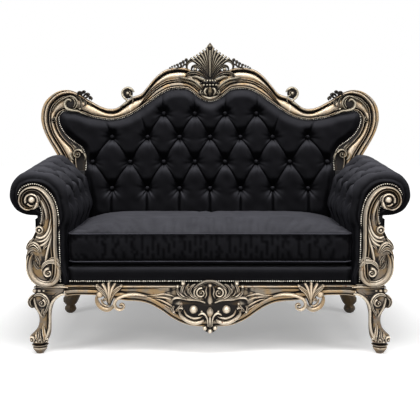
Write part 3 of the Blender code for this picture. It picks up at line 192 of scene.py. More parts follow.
class Cut(Enum):
    """How a carver shapes a raised strip across its width."""

    ROUND = "round"
    FLUTED = "fluted"
    KEELED = "keeled"


class Form(Enum):
    """A member of a moulding."""

    ROLL = "roll"
    COVE = "cove"
    FIELD = "field"


def linear(code: str) -> tuple[float, float, float, float]:
    """Turns an sRGB hex colour into the linear colour that a shader takes.

    Args:
        code: Six hex digits.

    Returns:
        Red, green, blue and alpha.
    """
    parts = [int(code[i : i + 2], 16) / 255 for i in (0, 2, 4)]
    return (*[c / 12.92 if c <= 0.04045 else ((c + 0.055) / 1.055) ** 2.4 for c in parts], 1.0)


def ease(t: Values) -> Array:
    """Smooth step from 0 to 1 as t goes from 0 to 1."""
    t = np.clip(t, 0.0, 1.0)
    return t * t * (3 - 2 * t)


def puff(t: Values) -> Array:
    """Quarter circle: rises steeply at 0 and levels out at 1."""
    return np.sqrt(1 - (1 - np.clip(t, 0.0, 1.0)) ** 2)


def smooth(points: Line, count: int) -> Array:
    """Evenly spaced points along a smooth curve through the given ones.

    Args:
        points: Points of any dimension.
        count: How many to return.

    Returns:
        An array with a row for each point.
    """
    p = np.array(points, float)
    padded = np.vstack([p[:1], p, p[-1:]])
    a, b, c, d = padded[:-3], padded[1:-2], padded[2:-1], padded[3:]
    t = (np.arange(16) / 16)[None, :, None]
    a, b, c, d = (q[:, None, :] for q in (a, b, c, d))
    dense = 0.5 * (2 * b + (c - a) * t + (2 * a - 5 * b + 4 * c - d) * t**2 + (3 * b - a - 3 * c + d) * t**3)
    dense = np.vstack([dense.reshape(-1, p.shape[1]), p[-1:]])
    run = np.concatenate([[0.0], np.cumsum(np.linalg.norm(np.diff(dense, axis=0), axis=1))])
    want = np.linspace(0.0, run[-1], count)
    return np.column_stack([np.interp(want, run, dense[:, k]) for k in range(p.shape[1])])


def normals_of(line: Array) -> Array:
    """Unit vectors square to a flat line, to its left.

    Args:
        line: Points (x, z), one in each row.

    Returns:
        A vector for each point.
    """
    run = np.gradient(line[:, :2], axis=0)
    run /= np.maximum(np.linalg.norm(run, axis=1, keepdims=True), 1e-12)
    return np.column_stack([-run[:, 1], run[:, 0]])


def moved(line: Array, offset: Values) -> Array:
    """The line moved offset metres to its left."""
    return line[:, :2] + normals_of(line) * offset


def back_y(z: Values, depth: Values = 0.0) -> Values:
    """Y at height z of the leaning back, or of a plane depth metres behind its front."""
    return 0.575 + 0.14 * (z - 0.720) + depth


def upright(z: Values, depth: Values = 0.0) -> Values:
    """Y of a plane depth metres behind the front of the seat rail, whatever the height."""
    return FRONT_Y + depth + 0.0 * z


def segment_distance(points: Array, a: Sequence[float], b: Sequence[float]) -> tuple[Array, Array]:
    """How far points lie from a stretch, and how far along it.

    Args:
        points: Flat points, one in each row.
        a: Where the stretch starts.
        b: Where it ends.

    Returns:
        The distances, and the shares of the way from a to b.
    """
    start, along = np.array(a), np.array(b) - np.array(a)
    share = np.clip((points - start) @ along / (along @ along), 0.0, 1.0)
    return np.linalg.norm(points - start - share[:, None] * along, axis=1), share


def wave(points: Array, size: float, seed: float = 0.0) -> Array:
    """Slow unevenness, from -1 to 1, made of a few crossing waves.

    Args:
        points: Places in metres, one in each row.
        size: Rough length of a wave, in metres.
        seed: Shifts the pattern.

    Returns:
        One value for each place.
    """
    total = np.zeros(len(points))
    for k in range(5):
        angle = seed + 2.4 * k
        way = np.array([math.cos(angle), math.sin(angle), math.sin(1.7 * angle)])[: points.shape[1]]
        total += np.sin(points @ way * (2 * math.pi / size) * (1 + 0.31 * k) + 1.3 * k + seed)
    return total / 3.0


def outward(bm: Shape) -> Shape:
    """Turns a closed mesh's faces outwards, once its points have moved.

    Args:
        bm: The mesh.

    Returns:
        The same mesh.
    """
    bm.normal_update()
    bmesh.ops.recalc_face_normals(bm, faces=bm.faces[:])
    return bm


def open_edges(bm: Shape) -> list[bmesh.types.BMEdge]:
    """The edges that border on one face only."""
    return [e for e in bm.edges if e.is_boundary]


def points_of(bm: Shape) -> Array:
    """A mesh's points, one in each row."""
    return np.array([v.co for v in bm.verts])


def placed(bm: Shape, points: Array) -> Shape:
    """Moves a mesh's vertices to the points, in their order.

    Args:
        bm: The mesh.
        points: A point for each vertex.

    Returns:
        The same mesh.
    """
    for v, p in zip(bm.verts, points):
        v.co = p
    return bm


def divided(bm: Shape, axis: int, cuts: int) -> None:
    """Cuts a box's edges that run along an axis.

    Args:
        bm: A box.
        axis: 0 to 2.
        cuts: How many cuts.
    """
    along = [e for e in bm.edges if abs((e.verts[0].co - e.verts[1].co).normalized()[axis]) > 0.9]
    bmesh.ops.subdivide_edges(bm, edges=along, cuts=cuts, use_grid_fill=True)


def toned(bm: Shape, tones: Iterable[float]) -> Shape:
    """Notes for each vertex how much darker it is painted, from 0 to 1: wax, and painted shade on recessed
    plates and in hollows.

    Args:
        bm: The mesh.
        tones: A tone for each vertex.

    Returns:
        The same mesh.
    """
    layer = bm.verts.layers.float.new("tone")
    for v, tone in zip(bm.verts, tones):
        v[layer] = tone
    return bm


def shaped(
    columns: int,
    rows: int,
    place: Placer,
    closed: bool = False,
    caps: bool = False,
    tone: Placer | None = None,
) -> Shape:
    """A grid drawn to a shape.

    Args:
        columns: Faces along u.
        rows: Faces along v.
        place: Gives the points for arrays of u and v, which run from 0 to 1.
        closed: Whether v = 1 meets v = 0.
        caps: Whether its open ends are filled.
        tone: Gives how much darker each point is left.

    Returns:
        The mesh, its faces turned outwards.
    """
    bm = bmesh.new()
    bmesh.ops.create_grid(bm, x_segments=columns, y_segments=rows, size=0.5)
    flat = points_of(bm)[:, :2] + 0.5
    placed(bm, place(flat[:, 0], flat[:, 1]))
    if tone:
        toned(bm, tone(flat[:, 0], flat[:, 1]))
    if closed:
        rim = {v for e in open_edges(bm) for v in e.verts}
        bmesh.ops.remove_doubles(bm, verts=list(rim), dist=1e-6)
    if caps:
        bmesh.ops.holes_fill(bm, edges=open_edges(bm), sides=0)
    return outward(bm)


def joined(parts: Iterable[Shape]) -> Shape:
    """One mesh of several, which are used up.

    Args:
        parts: The meshes.

    Returns:
        A new mesh.
    """
    total = bmesh.new()
    total.verts.layers.float.new("tone")
    for part in parts:
        mesh = bpy.data.meshes.new("part")
        part.to_mesh(mesh)
        part.free()
        total.from_mesh(mesh)
        bpy.data.meshes.remove(mesh)
    return total


def inside(points: Array, outline: Array) -> Array:
    """Which flat points lie inside a closed outline.

    Args:
        points: Flat points, one in each row.
        outline: Its corners.

    Returns:
        True for each point inside.
    """
    x, z = points[:, 0], points[:, 1]
    odd = np.zeros(len(points), bool)
    for (x0, z0), (x1, z1) in zip(outline, np.roll(outline, -1, axis=0)):
        if z0 != z1:
            crossed = (z0 > z) != (z1 > z)
            odd ^= crossed & (x < x0 + (z - z0) * (x1 - x0) / (z1 - z0))
    return odd


def nearest_on(points: Array, outline: Array) -> tuple[Array, Array]:
    """How far points lie from a closed outline, and the nearest places on it.

    Args:
        points: Flat points, one in each row.
        outline: Its corners.

    Returns:
        The distances, and the places.
    """
    far, place = np.full(len(points), 1e9), points.copy()
    for a, b in zip(outline, np.roll(outline, -1, axis=0)):
        if np.hypot(*(b - a)) > 1e-9:
            own, share = segment_distance(points, a, b)
            nearer = own < far
            far[nearer] = own[nearer]
            place[nearer] = a + share[nearer, None] * (b - a)
    return far, place


def trimmed(bm: Shape, keep: Array) -> None:
    """Deletes the vertices that aren't kept, and any that then have no face."""
    bmesh.ops.delete(bm, geom=[v for v, k in zip(bm.verts, keep) if not k], context="VERTS")
    bmesh.ops.delete(bm, geom=[v for v in bm.verts if not v.link_faces], context="VERTS")


def hemmed(bm: Shape, flat: Array, edge: Array) -> tuple[Array, Array]:
    """Brings a net's rim onto an outline.

    Args:
        bm: The net.
        flat: Where its points come, as (x, z).
        edge: The outline.

    Returns:
        The points, those of the rim moved, and how far each lies from the outline.
    """
    far, nearest = nearest_on(flat, edge)
    rim = np.array([v.is_boundary for v in bm.verts])
    flat[rim], far[rim] = nearest[rim], 0.0
    return flat, far


def backed(bm: Shape, depth: float) -> Shape:
    """Gives a sheet on the leaning back its sides and a flat face behind.

    Args:
        bm: The sheet.
        depth: How far that face lies behind the back's front plane.

    Returns:
        The same mesh.
    """
    made = bmesh.ops.extrude_edge_only(bm, edges=open_edges(bm))["geom"]
    for v in made:
        if isinstance(v, bmesh.types.BMVert):
            v.co.y = back_y(v.co.z, depth)
    bmesh.ops.holes_fill(bm, edges=open_edges(bm), sides=0)
    return outward(bm)


def coordinates(mesh: bpy.types.Mesh) -> Array:
    """A mesh's vertices as an array, one in each row.

    Args:
        mesh: The mesh.

    Returns:
        The points.
    """
    found = np.empty(len(mesh.vertices) * 3)
    mesh.vertices.foreach_get("co", found)
    return found.reshape(-1, 3)


# Finishes


def connect(tree: Tree, node: bpy.types.Node, **inputs: object) -> None:
    """Sets a node's inputs.

    Args:
        tree: The material's nodes.
        node: The node.
        **inputs: A value or an output socket for each input, by its name with _ for spaces, or iN by place.
    """
    for name, value in inputs.items():
        numbered = name[0] == "i" and name[1:].isdigit()
        socket = node.inputs[int(name[1:])] if numbered else node.inputs[name.replace("_", " ")]
        if isinstance(value, Socket):
            tree.links.new(value, socket)
        else:
            socket.default_value = value


def add(tree: Tree, kind: str, settings: dict | None = None, **inputs: object) -> bpy.types.Node:
    """Adds a shader node.

    Args:
        tree: The material's nodes.
        kind: The node's type.
        settings: Its properties by name.
        **inputs: Its inputs, as connect takes them.

    Returns:
        The node.
    """
    node = tree.nodes.new(kind)
    for name, value in (settings or {}).items():
        setattr(node, name, value)
    connect(tree, node, **inputs)
    return node


def worked(tree: Tree, operation: str, *values: object) -> Socket:
    """The result of a sum on sockets and numbers.

    Args:
        tree: The material's nodes.
        operation: What is done with them.
        *values: Two or three sockets or numbers.

    Returns:
        The result's socket.
    """
    inputs = {f"i{k}": value for k, value in enumerate(values)}
    return add(tree, "ShaderNodeMath", {"operation": operation}, **inputs).outputs[0]


def ranged(
    tree: Tree,
    factor: Socket,
    low: float,
    high: float,
    start: float = 0.0,
    stop: float = 1.0,
    kind: str = "LINEAR",
) -> Socket:
    """A value that goes from low to high as factor goes from start to stop.

    Args:
        tree: The material's nodes.
        factor: What is read.
        low: The result at start.
        high: The result at stop.
        start: Where the factor begins to count.
        stop: Where it ends.
        kind: How the result goes from one to the other.

    Returns:
        The result's socket.
    """
    reach = {"Value": factor, "From_Min": start, "From_Max": stop, "To_Min": low, "To_Max": high}
    return add(tree, "ShaderNodeMapRange", {"interpolation_type": kind}, **reach).outputs["Result"]


def ramp(tree: Tree, factor: Socket, start: float, stop: float) -> Socket:
    """A value that goes smoothly from 0 to 1 as factor goes from start to stop."""
    return ranged(tree, factor, 0.0, 1.0, start, stop, "SMOOTHSTEP")


def bumped(tree: Tree, height: Socket, strength: float, depth: float) -> Socket:
    """A normal that follows a height as if it were that many metres deep."""
    return add(tree, "ShaderNodeBump", Strength=strength, Distance=depth, Height=height).outputs["Normal"]


def attribute(tree: Tree, name: str) -> Socket:
    """The value that a mesh keeps under a name."""
    return add(tree, "ShaderNodeAttribute", {"attribute_name": name}).outputs["Fac"]


def blended(tree: Tree, share: object, first: object, second: object) -> Socket:
    """A colour between two, each a socket or a linear colour; share is 0 for the first, 1 for the second."""
    return add(tree, "ShaderNodeMix", {"data_type": "RGBA"}, i0=share, i6=first, i7=second).outputs[2]


@dataclass(frozen=True)
class Finish:
    """What every finish has: a name, and the way its material is started."""

    name: str

    def start(self) -> tuple[bpy.types.Material, Tree, bpy.types.Node, Socket]:
        """The new material, its nodes, its shader and its object coordinates in metres.

        Returns:
            The four of them.
        """
        material = bpy.data.materials.new(self.name)
        material.use_nodes = True
        tree = material.node_tree
        shader = tree.nodes["Principled BSDF"]
        return material, tree, shader, add(tree, "ShaderNodeTexCoord").outputs["Object"]

    def noise(self, tree: Tree, place: Socket, size_mm: float, detail: float = 3.0) -> Socket:
        """Noise whose lumps are about size_mm across."""
        scale = 1000.0 / size_mm
        return add(tree, "ShaderNodeTexNoise", Vector=place, Scale=scale, Detail=detail).outputs["Fac"]


@dataclass(frozen=True)
class Leafed(Finish):
    """Silver-gold leaf laid on red bole over carved wood, rubbed and toned with umber wax.

    The umber stays dark and dull in each hollow, as wax, and is also painted where nearby carving hides
    the sky, as shade. The ridges take a lighter leaf colour, as rubbed leaf and painted highlight, and the
    bole shows where it has been rubbed through.
    """

    silver: str = "7A7165"
    gold: str = "8C7556"
    # Colour of the ridges: rubbed leaf, and a painted highlight.
    bright: str = "CCBCA6"
    bole: str = "6E4530"
    umber: str = "0D0806"
    metallic: float = 0.80
    roughness: float = 0.40
    wax_shade_low: float = 0.14
    wax_shade_high: float = 0.60
    patch_mm: float = 42.0
    scratch_mm: float = 2.2
    rub_mm: float = 9.0
    grain_mm: float = 0.7
    mottle: float = 0.34
    waxed_metallic: float = 0.05
    waxed_roughness: float = 0.62

    def build(self) -> bpy.types.Material:
        """Makes the material.

        Returns:
            The material.
        """
        material, tree, shader, place = self.start()
        # The first attribute paints wax and shade, the second rubbed leaf and highlight.
        wax_and_shade, rub_and_highlight = attribute(tree, "wax_and_shade"), attribute(tree, "rub_and_highlight")
        patches = ramp(tree, self.noise(tree, place, self.patch_mm), 0.38, 0.62)
        rubbed = self.noise(tree, place, self.rub_mm, 6.0)
        scratches = self.noise(tree, place, self.scratch_mm, 4.0)
        leaf = blended(tree, patches, linear(self.silver), linear(self.gold))
        # Ridges take the lighter colour, as rubbed leaf and painted highlight.
        leaf = blended(tree, ramp(tree, rub_and_highlight, 0.15, 0.75), leaf, linear(self.bright))
        leaf = blended(tree, ramp(tree, rubbed, 0.60, 0.74), leaf, linear(self.bole))
        # Where the first is high, the umber paints dark wax and painted shade.
        mottled = worked(tree, "MULTIPLY_ADD", scratches, self.mottle, wax_and_shade)
        wax = ramp(tree, worked(tree, "SUBTRACT", mottled, self.mottle / 2), self.wax_shade_low, self.wax_shade_high)
        dull = ranged(tree, wax, self.roughness, self.waxed_roughness)
        height = worked(tree, "MULTIPLY_ADD", scratches, 1.6, self.noise(tree, place, self.grain_mm, 2.0))
        connect(
            tree,
            shader,
            Base_Color=blended(tree, wax, leaf, linear(self.umber)),
            Metallic=ranged(tree, wax, self.metallic, self.waxed_metallic),
            Roughness=worked(tree, "MULTIPLY_ADD", scratches, 0.16, dull),
            Specular_IOR_Level=0.25,
            Normal=bumped(tree, height, 0.35, 0.0004),
        )
        return material


@dataclass(frozen=True)
class Velvet(Finish):
    """Cotton velvet: a dense pile, painted grey where it faces up and black in every hollow, as painted light
    and shade.

    Its pile is about 2 mm deep and is drawn coarser than it is, as fine grain, and it lies in slightly
    different ways in patches a hand wide. A vertex attribute says how much of its light colour shows:
    painted light where it faces up, a painted highlight on folds and painted shade in hollows.
    """

    # dark is the colour in painted shade, light the colour where painted light is strongest.
    dark: str = "020203"
    light: str = "444449"
    sheen: str = "8E8E9C"
    sheen_weight: float = 0.07
    sheen_roughness: float = 0.42
    roughness: float = 0.85
    nap_mm: float = 70.0
    pile_mm: float = 1.3
    gloss: float = 0.03

    def build(self) -> bpy.types.Material:
        """Makes the material.

        Returns:
            The material.
        """
        material, tree, shader, place = self.start()
        pile = self.noise(tree, place, self.pile_mm, 3.0)
        brushed = ranged(tree, self.noise(tree, place, self.nap_mm, 4.0), 0.78, 1.0, 0.3, 0.7)
        uneven = worked(tree, "MULTIPLY", brushed, ranged(tree, pile, 0.75, 1.1, 0.25, 0.75))
        # This share paints light and shade: it mixes the dark colour towards the light one.
        share = worked(tree, "MULTIPLY", uneven, attribute(tree, "painted_light"))
        connect(
            tree,
            shader,
            Base_Color=blended(tree, share, linear(self.dark), linear(self.light)),
            Roughness=self.roughness,
            Specular_IOR_Level=self.gloss,
            Sheen_Weight=self.sheen_weight,
            Sheen_Roughness=self.sheen_roughness,
            Sheen_Tint=linear(self.sheen),
            Normal=bumped(tree, pile, 0.30, 0.0006),
        )
        return material


@dataclass(frozen=True)
class Woven(Finish):
    """Plain-woven lining cloth, black and matt, its threads 0.9 mm apart and drawn at 1.8 mm to show."""

    dark: str = "08080A"
    light: str = "1B1B1E"
    thread_mm: float = 1.8
    roughness: float = 0.93

    def build(self) -> bpy.types.Material:
        """Makes the material.

        Returns:
            The material.
        """
        material, tree, shader, place = self.start()
        scale = 1000.0 / self.thread_mm / math.pi
        threads = []
        for way in ("X", "Y"):
            bands = {"bands_direction": way}
            made = add(tree, "ShaderNodeTexWave", bands, Vector=place, Scale=scale, Distortion=0.6)
            threads.append(made.outputs["Fac"])
        weave = worked(tree, "MULTIPLY", *threads)
        colour = blended(tree, weave, linear(self.dark), linear(self.light))
        relief = bumped(tree, weave, 0.5, 0.0004)
        connect(tree, shader, Base_Color=colour, Roughness=self.roughness, Normal=relief)
        return material


@dataclass(frozen=True)
class Planed(Finish):
    """Planed beech, unpolished: pale pinkish brown with short dark flecks along the grain."""

    pale: str = "C9A27A"
    brown: str = "9C7146"
    fleck: str = "6E4A2A"
    grain_mm: float = 6.0
    roughness: float = 0.62

    def build(self) -> bpy.types.Material:
        """Makes the material.

        Returns:
            The material.
        """
        material, tree, shader, place = self.start()
        along = add(tree, "ShaderNodeMapping", Vector=place, Scale=(0.08, 1.0, 1.0)).outputs[0]
        grain = self.noise(tree, along, self.grain_mm, 6.0)
        flecks = ramp(tree, self.noise(tree, along, self.grain_mm / 4, 2.0), 0.62, 0.72)
        colour = blended(tree, ramp(tree, grain, 0.35, 0.65), linear(self.pale), linear(self.brown))
        colour = blended(tree, flecks, colour, linear(self.fleck))
        relief = bumped(tree, grain, 0.2, 0.0003)
        connect(tree, shader, Base_Color=colour, Roughness=self.roughness, Normal=relief)
        return material


@dataclass(frozen=True)
class Plated(Finish):
    """Small steel parts: nickel plating, a little tarnished, or the grey scale of oil-hardened springs."""

    clean: str = "D8D2C6"
    tarnish: str = "5A534A"
    roughness: float = 0.28
    spot_mm: float = 14.0
    dull: float = 0.5

    def build(self) -> bpy.types.Material:
        """Makes the material.

        Returns:
            The material.
        """
        material, tree, shader, place = self.start()
        spots = ramp(tree, self.noise(tree, place, self.spot_mm, 5.0), 0.42, 0.70)
        colour = blended(tree, spots, linear(self.clean), linear(self.tarnish))
        roughness = ranged(tree, spots, self.roughness, self.dull)
        connect(tree, shader, Base_Color=colour, Metallic=1.0, Roughness=roughness)
        return material


class Finishes:
    """The finishes of the settee, each made once."""

    def __init__(self) -> None:
        """Makes every material."""
        self.leaf = Leafed("silver gold leaf").build()
        self.bronze = Leafed(
            "bronzed silver leaf",
            silver="534D43",
            gold="5A4E3A",
            bright="ABA290",
            wax_shade_low=-0.09,
            wax_shade_high=0.34,
        ).build()
        # A darker copy of the leaf, for the arm posts, the front legs and the cartouche.
        self.deep = Leafed(
            "darker silver gold leaf",
            silver="6E655B",
            gold="7C674A",
            bright="CABEAC",
            wax_shade_low=0.00,
            wax_shade_high=0.45,
        ).build()
        # A darker copy of the leaf, painted shade on the rear legs and the rails under the seat.
        self.plain = Leafed(
            "silver gold leaf painted darker for shade",
            silver="4D453B",
            gold="574732",
            bright="837665",
            wax_shade_low=-0.35,
            wax_shade_high=0.95,
        ).build()
        self.velvet = Velvet("black velvet").build()
        # The piping's colours take the same painted light and shade as the velvet.
        self.piping = Velvet("velvet piping", dark="141417", light="55555D", sheen_weight=0.12).build()
        self.lining = Woven("black lining cloth").build()
        self.beech = Planed("bare beech").build()
        self.nickel = Plated("nickelled nails").build()
        self.spring = Plated("spring steel", clean="8C8C90", tarnish="4A4A4E", roughness=0.4).build()


# Placing, and painting wax, light and shade


@dataclass
class Workshop:
    """Puts finished pieces in the scene and remembers those that are leafed or covered in velvet."""

    finishes: Finishes
    leafed: list[bpy.types.Object] = field(default_factory=list)
    cloth: list[bpy.types.Object] = field(default_factory=list)

    def put(
        self,
        name: str,
        bm: Shape,
        material: bpy.types.Material,
        slot: Slot,
        replaces: Sequence[str] = (),
        side: Side = Side.RIGHT,
        body: Body = Body.FRAME,
        crease: float = 40.0,
    ) -> bpy.types.Object:
        """Makes a piece of a mesh drawn on the right side, with Y = 0 through the front feet.

        Args:
            name: The piece's name.
            bm: Its mesh, which is used up.
            material: Its finish.
            slot: Its kind of material, which puts leafed and velvet pieces on their lists.
            replaces: CAD nodes that it stands for.
            side: Mirrors it to the left.
            body: What it moves with.
            crease: Edges sharper than this many degrees stay sharp.

        Returns:
            The piece.
        """
        if side is Side.LEFT:
            bmesh.ops.scale(bm, vec=(-1, 1, 1), verts=bm.verts[:])
            bmesh.ops.reverse_faces(bm, faces=bm.faces[:])
        bmesh.ops.translate(bm, verts=bm.verts[:], vec=(0, FEET_Y, 0))
        mesh = bpy.data.meshes.new(name)
        bm.to_mesh(mesh)
        bm.free()
        mesh.materials.append(material)
        mesh.shade_smooth()
        mesh.set_sharp_from_angle(angle=math.radians(crease))
        made = bpy.data.objects.new(name, mesh)
        bpy.context.scene.collection.objects.link(made)
        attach(made, body.value)
        if replaces:
            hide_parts(*replaces)
        if slot is Slot.GILT:
            self.leafed.append(made)
        if slot is Slot.VELVET:
            self.cloth.append(made)
        LOG.info("%s: %d faces", name, len(mesh.polygons))
        return made

    def cover(
        self,
        name: str,
        bm: Shape,
        replaces: Sequence[str] = (),
        side: Side = Side.RIGHT,
        body: Body = Body.FRAME,
    ) -> bpy.types.Object:
        """Puts a piece covered in black velvet, as put does."""
        return self.put(name, bm, self.finishes.velvet, Slot.VELVET, replaces, side, body, SOFT_CREASE)

    def gild(
        self, name: str, bm: Shape, finish: bpy.types.Material, node: str, side: Side = Side.RIGHT
    ) -> None:
        """Puts a leafed piece that stands for one CAD node.

        Args:
            name: The piece's name.
            bm: Its mesh.
            finish: Its leaf.
            node: The node.
            side: Its side.
        """
        self.put(name, bm, finish, Slot.GILT, [node], side)

    def dress(self, node: str, material: bpy.types.Material) -> None:
        """Gives a CAD node that stays a better material.

        Args:
            node: The CAD node.
            material: Its finish.
        """
        mesh = FRAME["nodes"][node].data
        mesh.materials.clear()
        mesh.materials.append(material)


@dataclass
class ShadeAndHollows:
    """Finds where nearby shapes hide the sky from a piece, and what lies low or stands out on it."""

    reach: float
    rays: int = 7
    clear: float = 0.0004

    def read(self, mesh: bpy.types.Mesh) -> tuple[Array, Array, Array]:
        """A mesh's points, their normals and the ends of its edges.

        Args:
            mesh: The piece's mesh.

        Returns:
            The three arrays.
        """
        place = coordinates(mesh)
        normal = np.empty(len(place) * 3)
        mesh.vertex_normals.foreach_get("vector", normal)
        ends = np.empty(len(mesh.edges) * 2, int)
        mesh.edges.foreach_get("vertices", ends)
        return place, normal.reshape(-1, 3), ends.reshape(-1, 2)

    def store(self, mesh: bpy.types.Mesh, name: str, value: Array) -> None:
        """Keeps a value between 0 and 1 at each vertex.

        Args:
            mesh: The piece's mesh.
            name: The attribute.
            value: Its values.
        """
        layer = mesh.attributes.new(name, "FLOAT", "POINT")
        layer.data.foreach_set("value", np.clip(value, 0.0, 1.0).astype(np.float32))

    def _ground(self, pieces: Sequence[bpy.types.Object]) -> bvhtree.BVHTree:
        """All pieces as one tree for finding what is near.

        Args:
            pieces: The pieces.

        Returns:
            The tree.
        """
        bm = bmesh.new()
        for made in pieces:
            bm.from_mesh(made.data)
        tree = bvhtree.BVHTree.FromBMesh(bm)
        bm.free()
        return tree

    def _spread(self, value: Array, ends: Array, passes: int) -> Array:
        """Each value averaged with its neighbours' that many times.

        Args:
            value: Rows of values.
            ends: The ends of the edges.
            passes: How many times.

        Returns:
            The averaged values.
        """
        count = len(value)
        both = np.concatenate([ends[:, 0], ends[:, 1]])
        other = np.concatenate([ends[:, 1], ends[:, 0]])
        degree = np.maximum(np.bincount(both, minlength=count), 1)
        for _ in range(passes):
            sums = [np.bincount(both, weights=column[other], minlength=count) for column in value.T]
            value = 0.4 * value + 0.6 * np.column_stack(sums) / degree[:, None]
        return value

    def _sunk(self, place: Array, normal: Array, ends: Array, passes: int) -> Array:
        """How many metres each vertex lies below the smoothed surface; negative on ridges."""
        return np.einsum("ij,ij->i", self._spread(place, ends, passes) - place, normal)

    def _shade(self, place: Array, normal: Array, tree: bvhtree.BVHTree) -> Array:
        """Share of the sky that nearby carving hides from each vertex.

        Args:
            place: The vertices.
            normal: Their normals.
            tree: The pieces nearby.

        Returns:
            A share for each vertex.
        """
        count = len(place)
        golden = math.pi * (3 - math.sqrt(5))
        index = np.arange(count)
        aside = np.cross(normal, np.where(np.abs(normal[:, :1]) < 0.7, [[1.0, 0.0, 0.0]], [[0.0, 0.0, 1.0]]))
        aside /= np.maximum(np.linalg.norm(aside, axis=1, keepdims=True), 1e-9)
        across = np.cross(normal, aside)
        start = place + normal * self.clear
        hidden = np.zeros(count)
        for k in range(self.rays):
            turn = golden * (k + index * 7.31)
            rise = math.sqrt((k + 0.5) / self.rays)
            flat = math.sqrt(1 - rise * rise)
            ways = normal * rise + flat * (np.cos(turn)[:, None] * aside + np.sin(turn)[:, None] * across)
            for i, (p, w) in enumerate(zip(start.tolist(), ways.tolist())):
                far = tree.ray_cast(p, w, self.reach)[3]
                if far is not None:
                    hidden[i] += 1 - 0.5 * far / self.reach
        return hidden / self.rays


@dataclass
class WaxAndShade(ShadeAndHollows):
    """Where wax gathers and shade is painted, and where rubbed leaf and painted highlights lighten the leaf.

    Each vertex gets a darkness, high where nearby carving hides the sky, as painted shade, and in hollows
    and on backs, which are never rubbed, as wax; and a lightness, high on ridges, as rubbed leaf and
    painted highlight, and low where shaded.
    """

    reach: float = 0.016
    near_passes: int = 1
    far_passes: int = 4
    near_depth: float = 0.0008
    far_depth: float = 0.0022
    far_rise: float = 0.0030
    shading: float = 1.45
    everywhere: float = 0.06
    behind: float = 0.5

    def age(self, pieces: Sequence[bpy.types.Object]) -> None:
        """Adds the two attributes to every piece.

        Args:
            pieces: The leafed pieces, whose carvings shade one another.
        """
        tree = self._ground(pieces)
        for made in pieces:
            place, normal, ends = self.read(made.data)
            near = self._sunk(place, normal, ends, self.near_passes)
            far = self._sunk(place, normal, ends, self.far_passes)
            shade = self._spread(self._shade(place, normal, tree)[:, None], ends, 2)[:, 0]
            tone = np.zeros(len(place), np.float32)
            if "tone" in made.data.attributes:
                made.data.attributes["tone"].data.foreach_get("value", tone)
            tone = tone + self.behind * np.clip((normal[:, 1] - 0.5) / 0.4, 0.0, 1.0)
            hollow = np.clip(near / self.near_depth, -0.20, 0.4) + np.clip(far / self.far_depth, -0.20, 0.4)
            ridge = np.clip(-near / self.near_depth, 0.0, 0.6) + np.clip(-far / self.far_rise, 0.0, 0.6)
            # The first value paints shade where nearby carving hides the sky, and wax in hollows and on
            # backs.
            self.store(made.data, "wax_and_shade", self.shading * shade + hollow + tone + self.everywhere)
            # The second paints ridges lighter, as rubbed leaf and highlight, and less where shaded.
            self.store(made.data, "rub_and_highlight", ridge - shade - tone)


@dataclass
class PaintedVelvetLight(ShadeAndHollows):
    """Painted light and shade on the velvet: lighter where it faces up, a painted highlight on folds, and
    painted shade in hollows.
    """

    reach: float = 0.060
    rays: int = 9
    # level paints a vertical face, lift paints light on faces that look up, fold a highlight on folds, and
    # shading paints shade where nearby cloth hides the sky.
    level: float = 0.07
    lift: float = 0.88
    fold: float = 0.07
    fold_height: float = 0.0005
    steepness: float = 1.8
    shading: float = 0.9
    light_shade: float = 0.12

    def brush(self, pieces: Sequence[bpy.types.Object]) -> None:
        """Adds the attribute to every piece.

        Args:
            pieces: The pieces covered in velvet, which shade one another.
        """
        tree = self._ground(pieces)
        for made in pieces:
            place, normal, ends = self.read(made.data)
            # Faces that look up are painted lighter, folds get a painted highlight and hollows painted shade.
            shade = self._spread(self._shade(place, normal, tree)[:, None], ends, 3)[:, 0]
            ridge = np.clip(-self._sunk(place, normal, ends, 2) / self.fold_height, -1.0, 1.0)
            up = np.sign(normal[:, 2]) * np.abs(normal[:, 2]) ** self.steepness
            painted_light = self.level + self.lift * up + self.fold * ridge
            self.store(made.data, "painted_light", painted_light - self.shading * np.maximum(shade - self.light_shade, 0.0))


# Carving


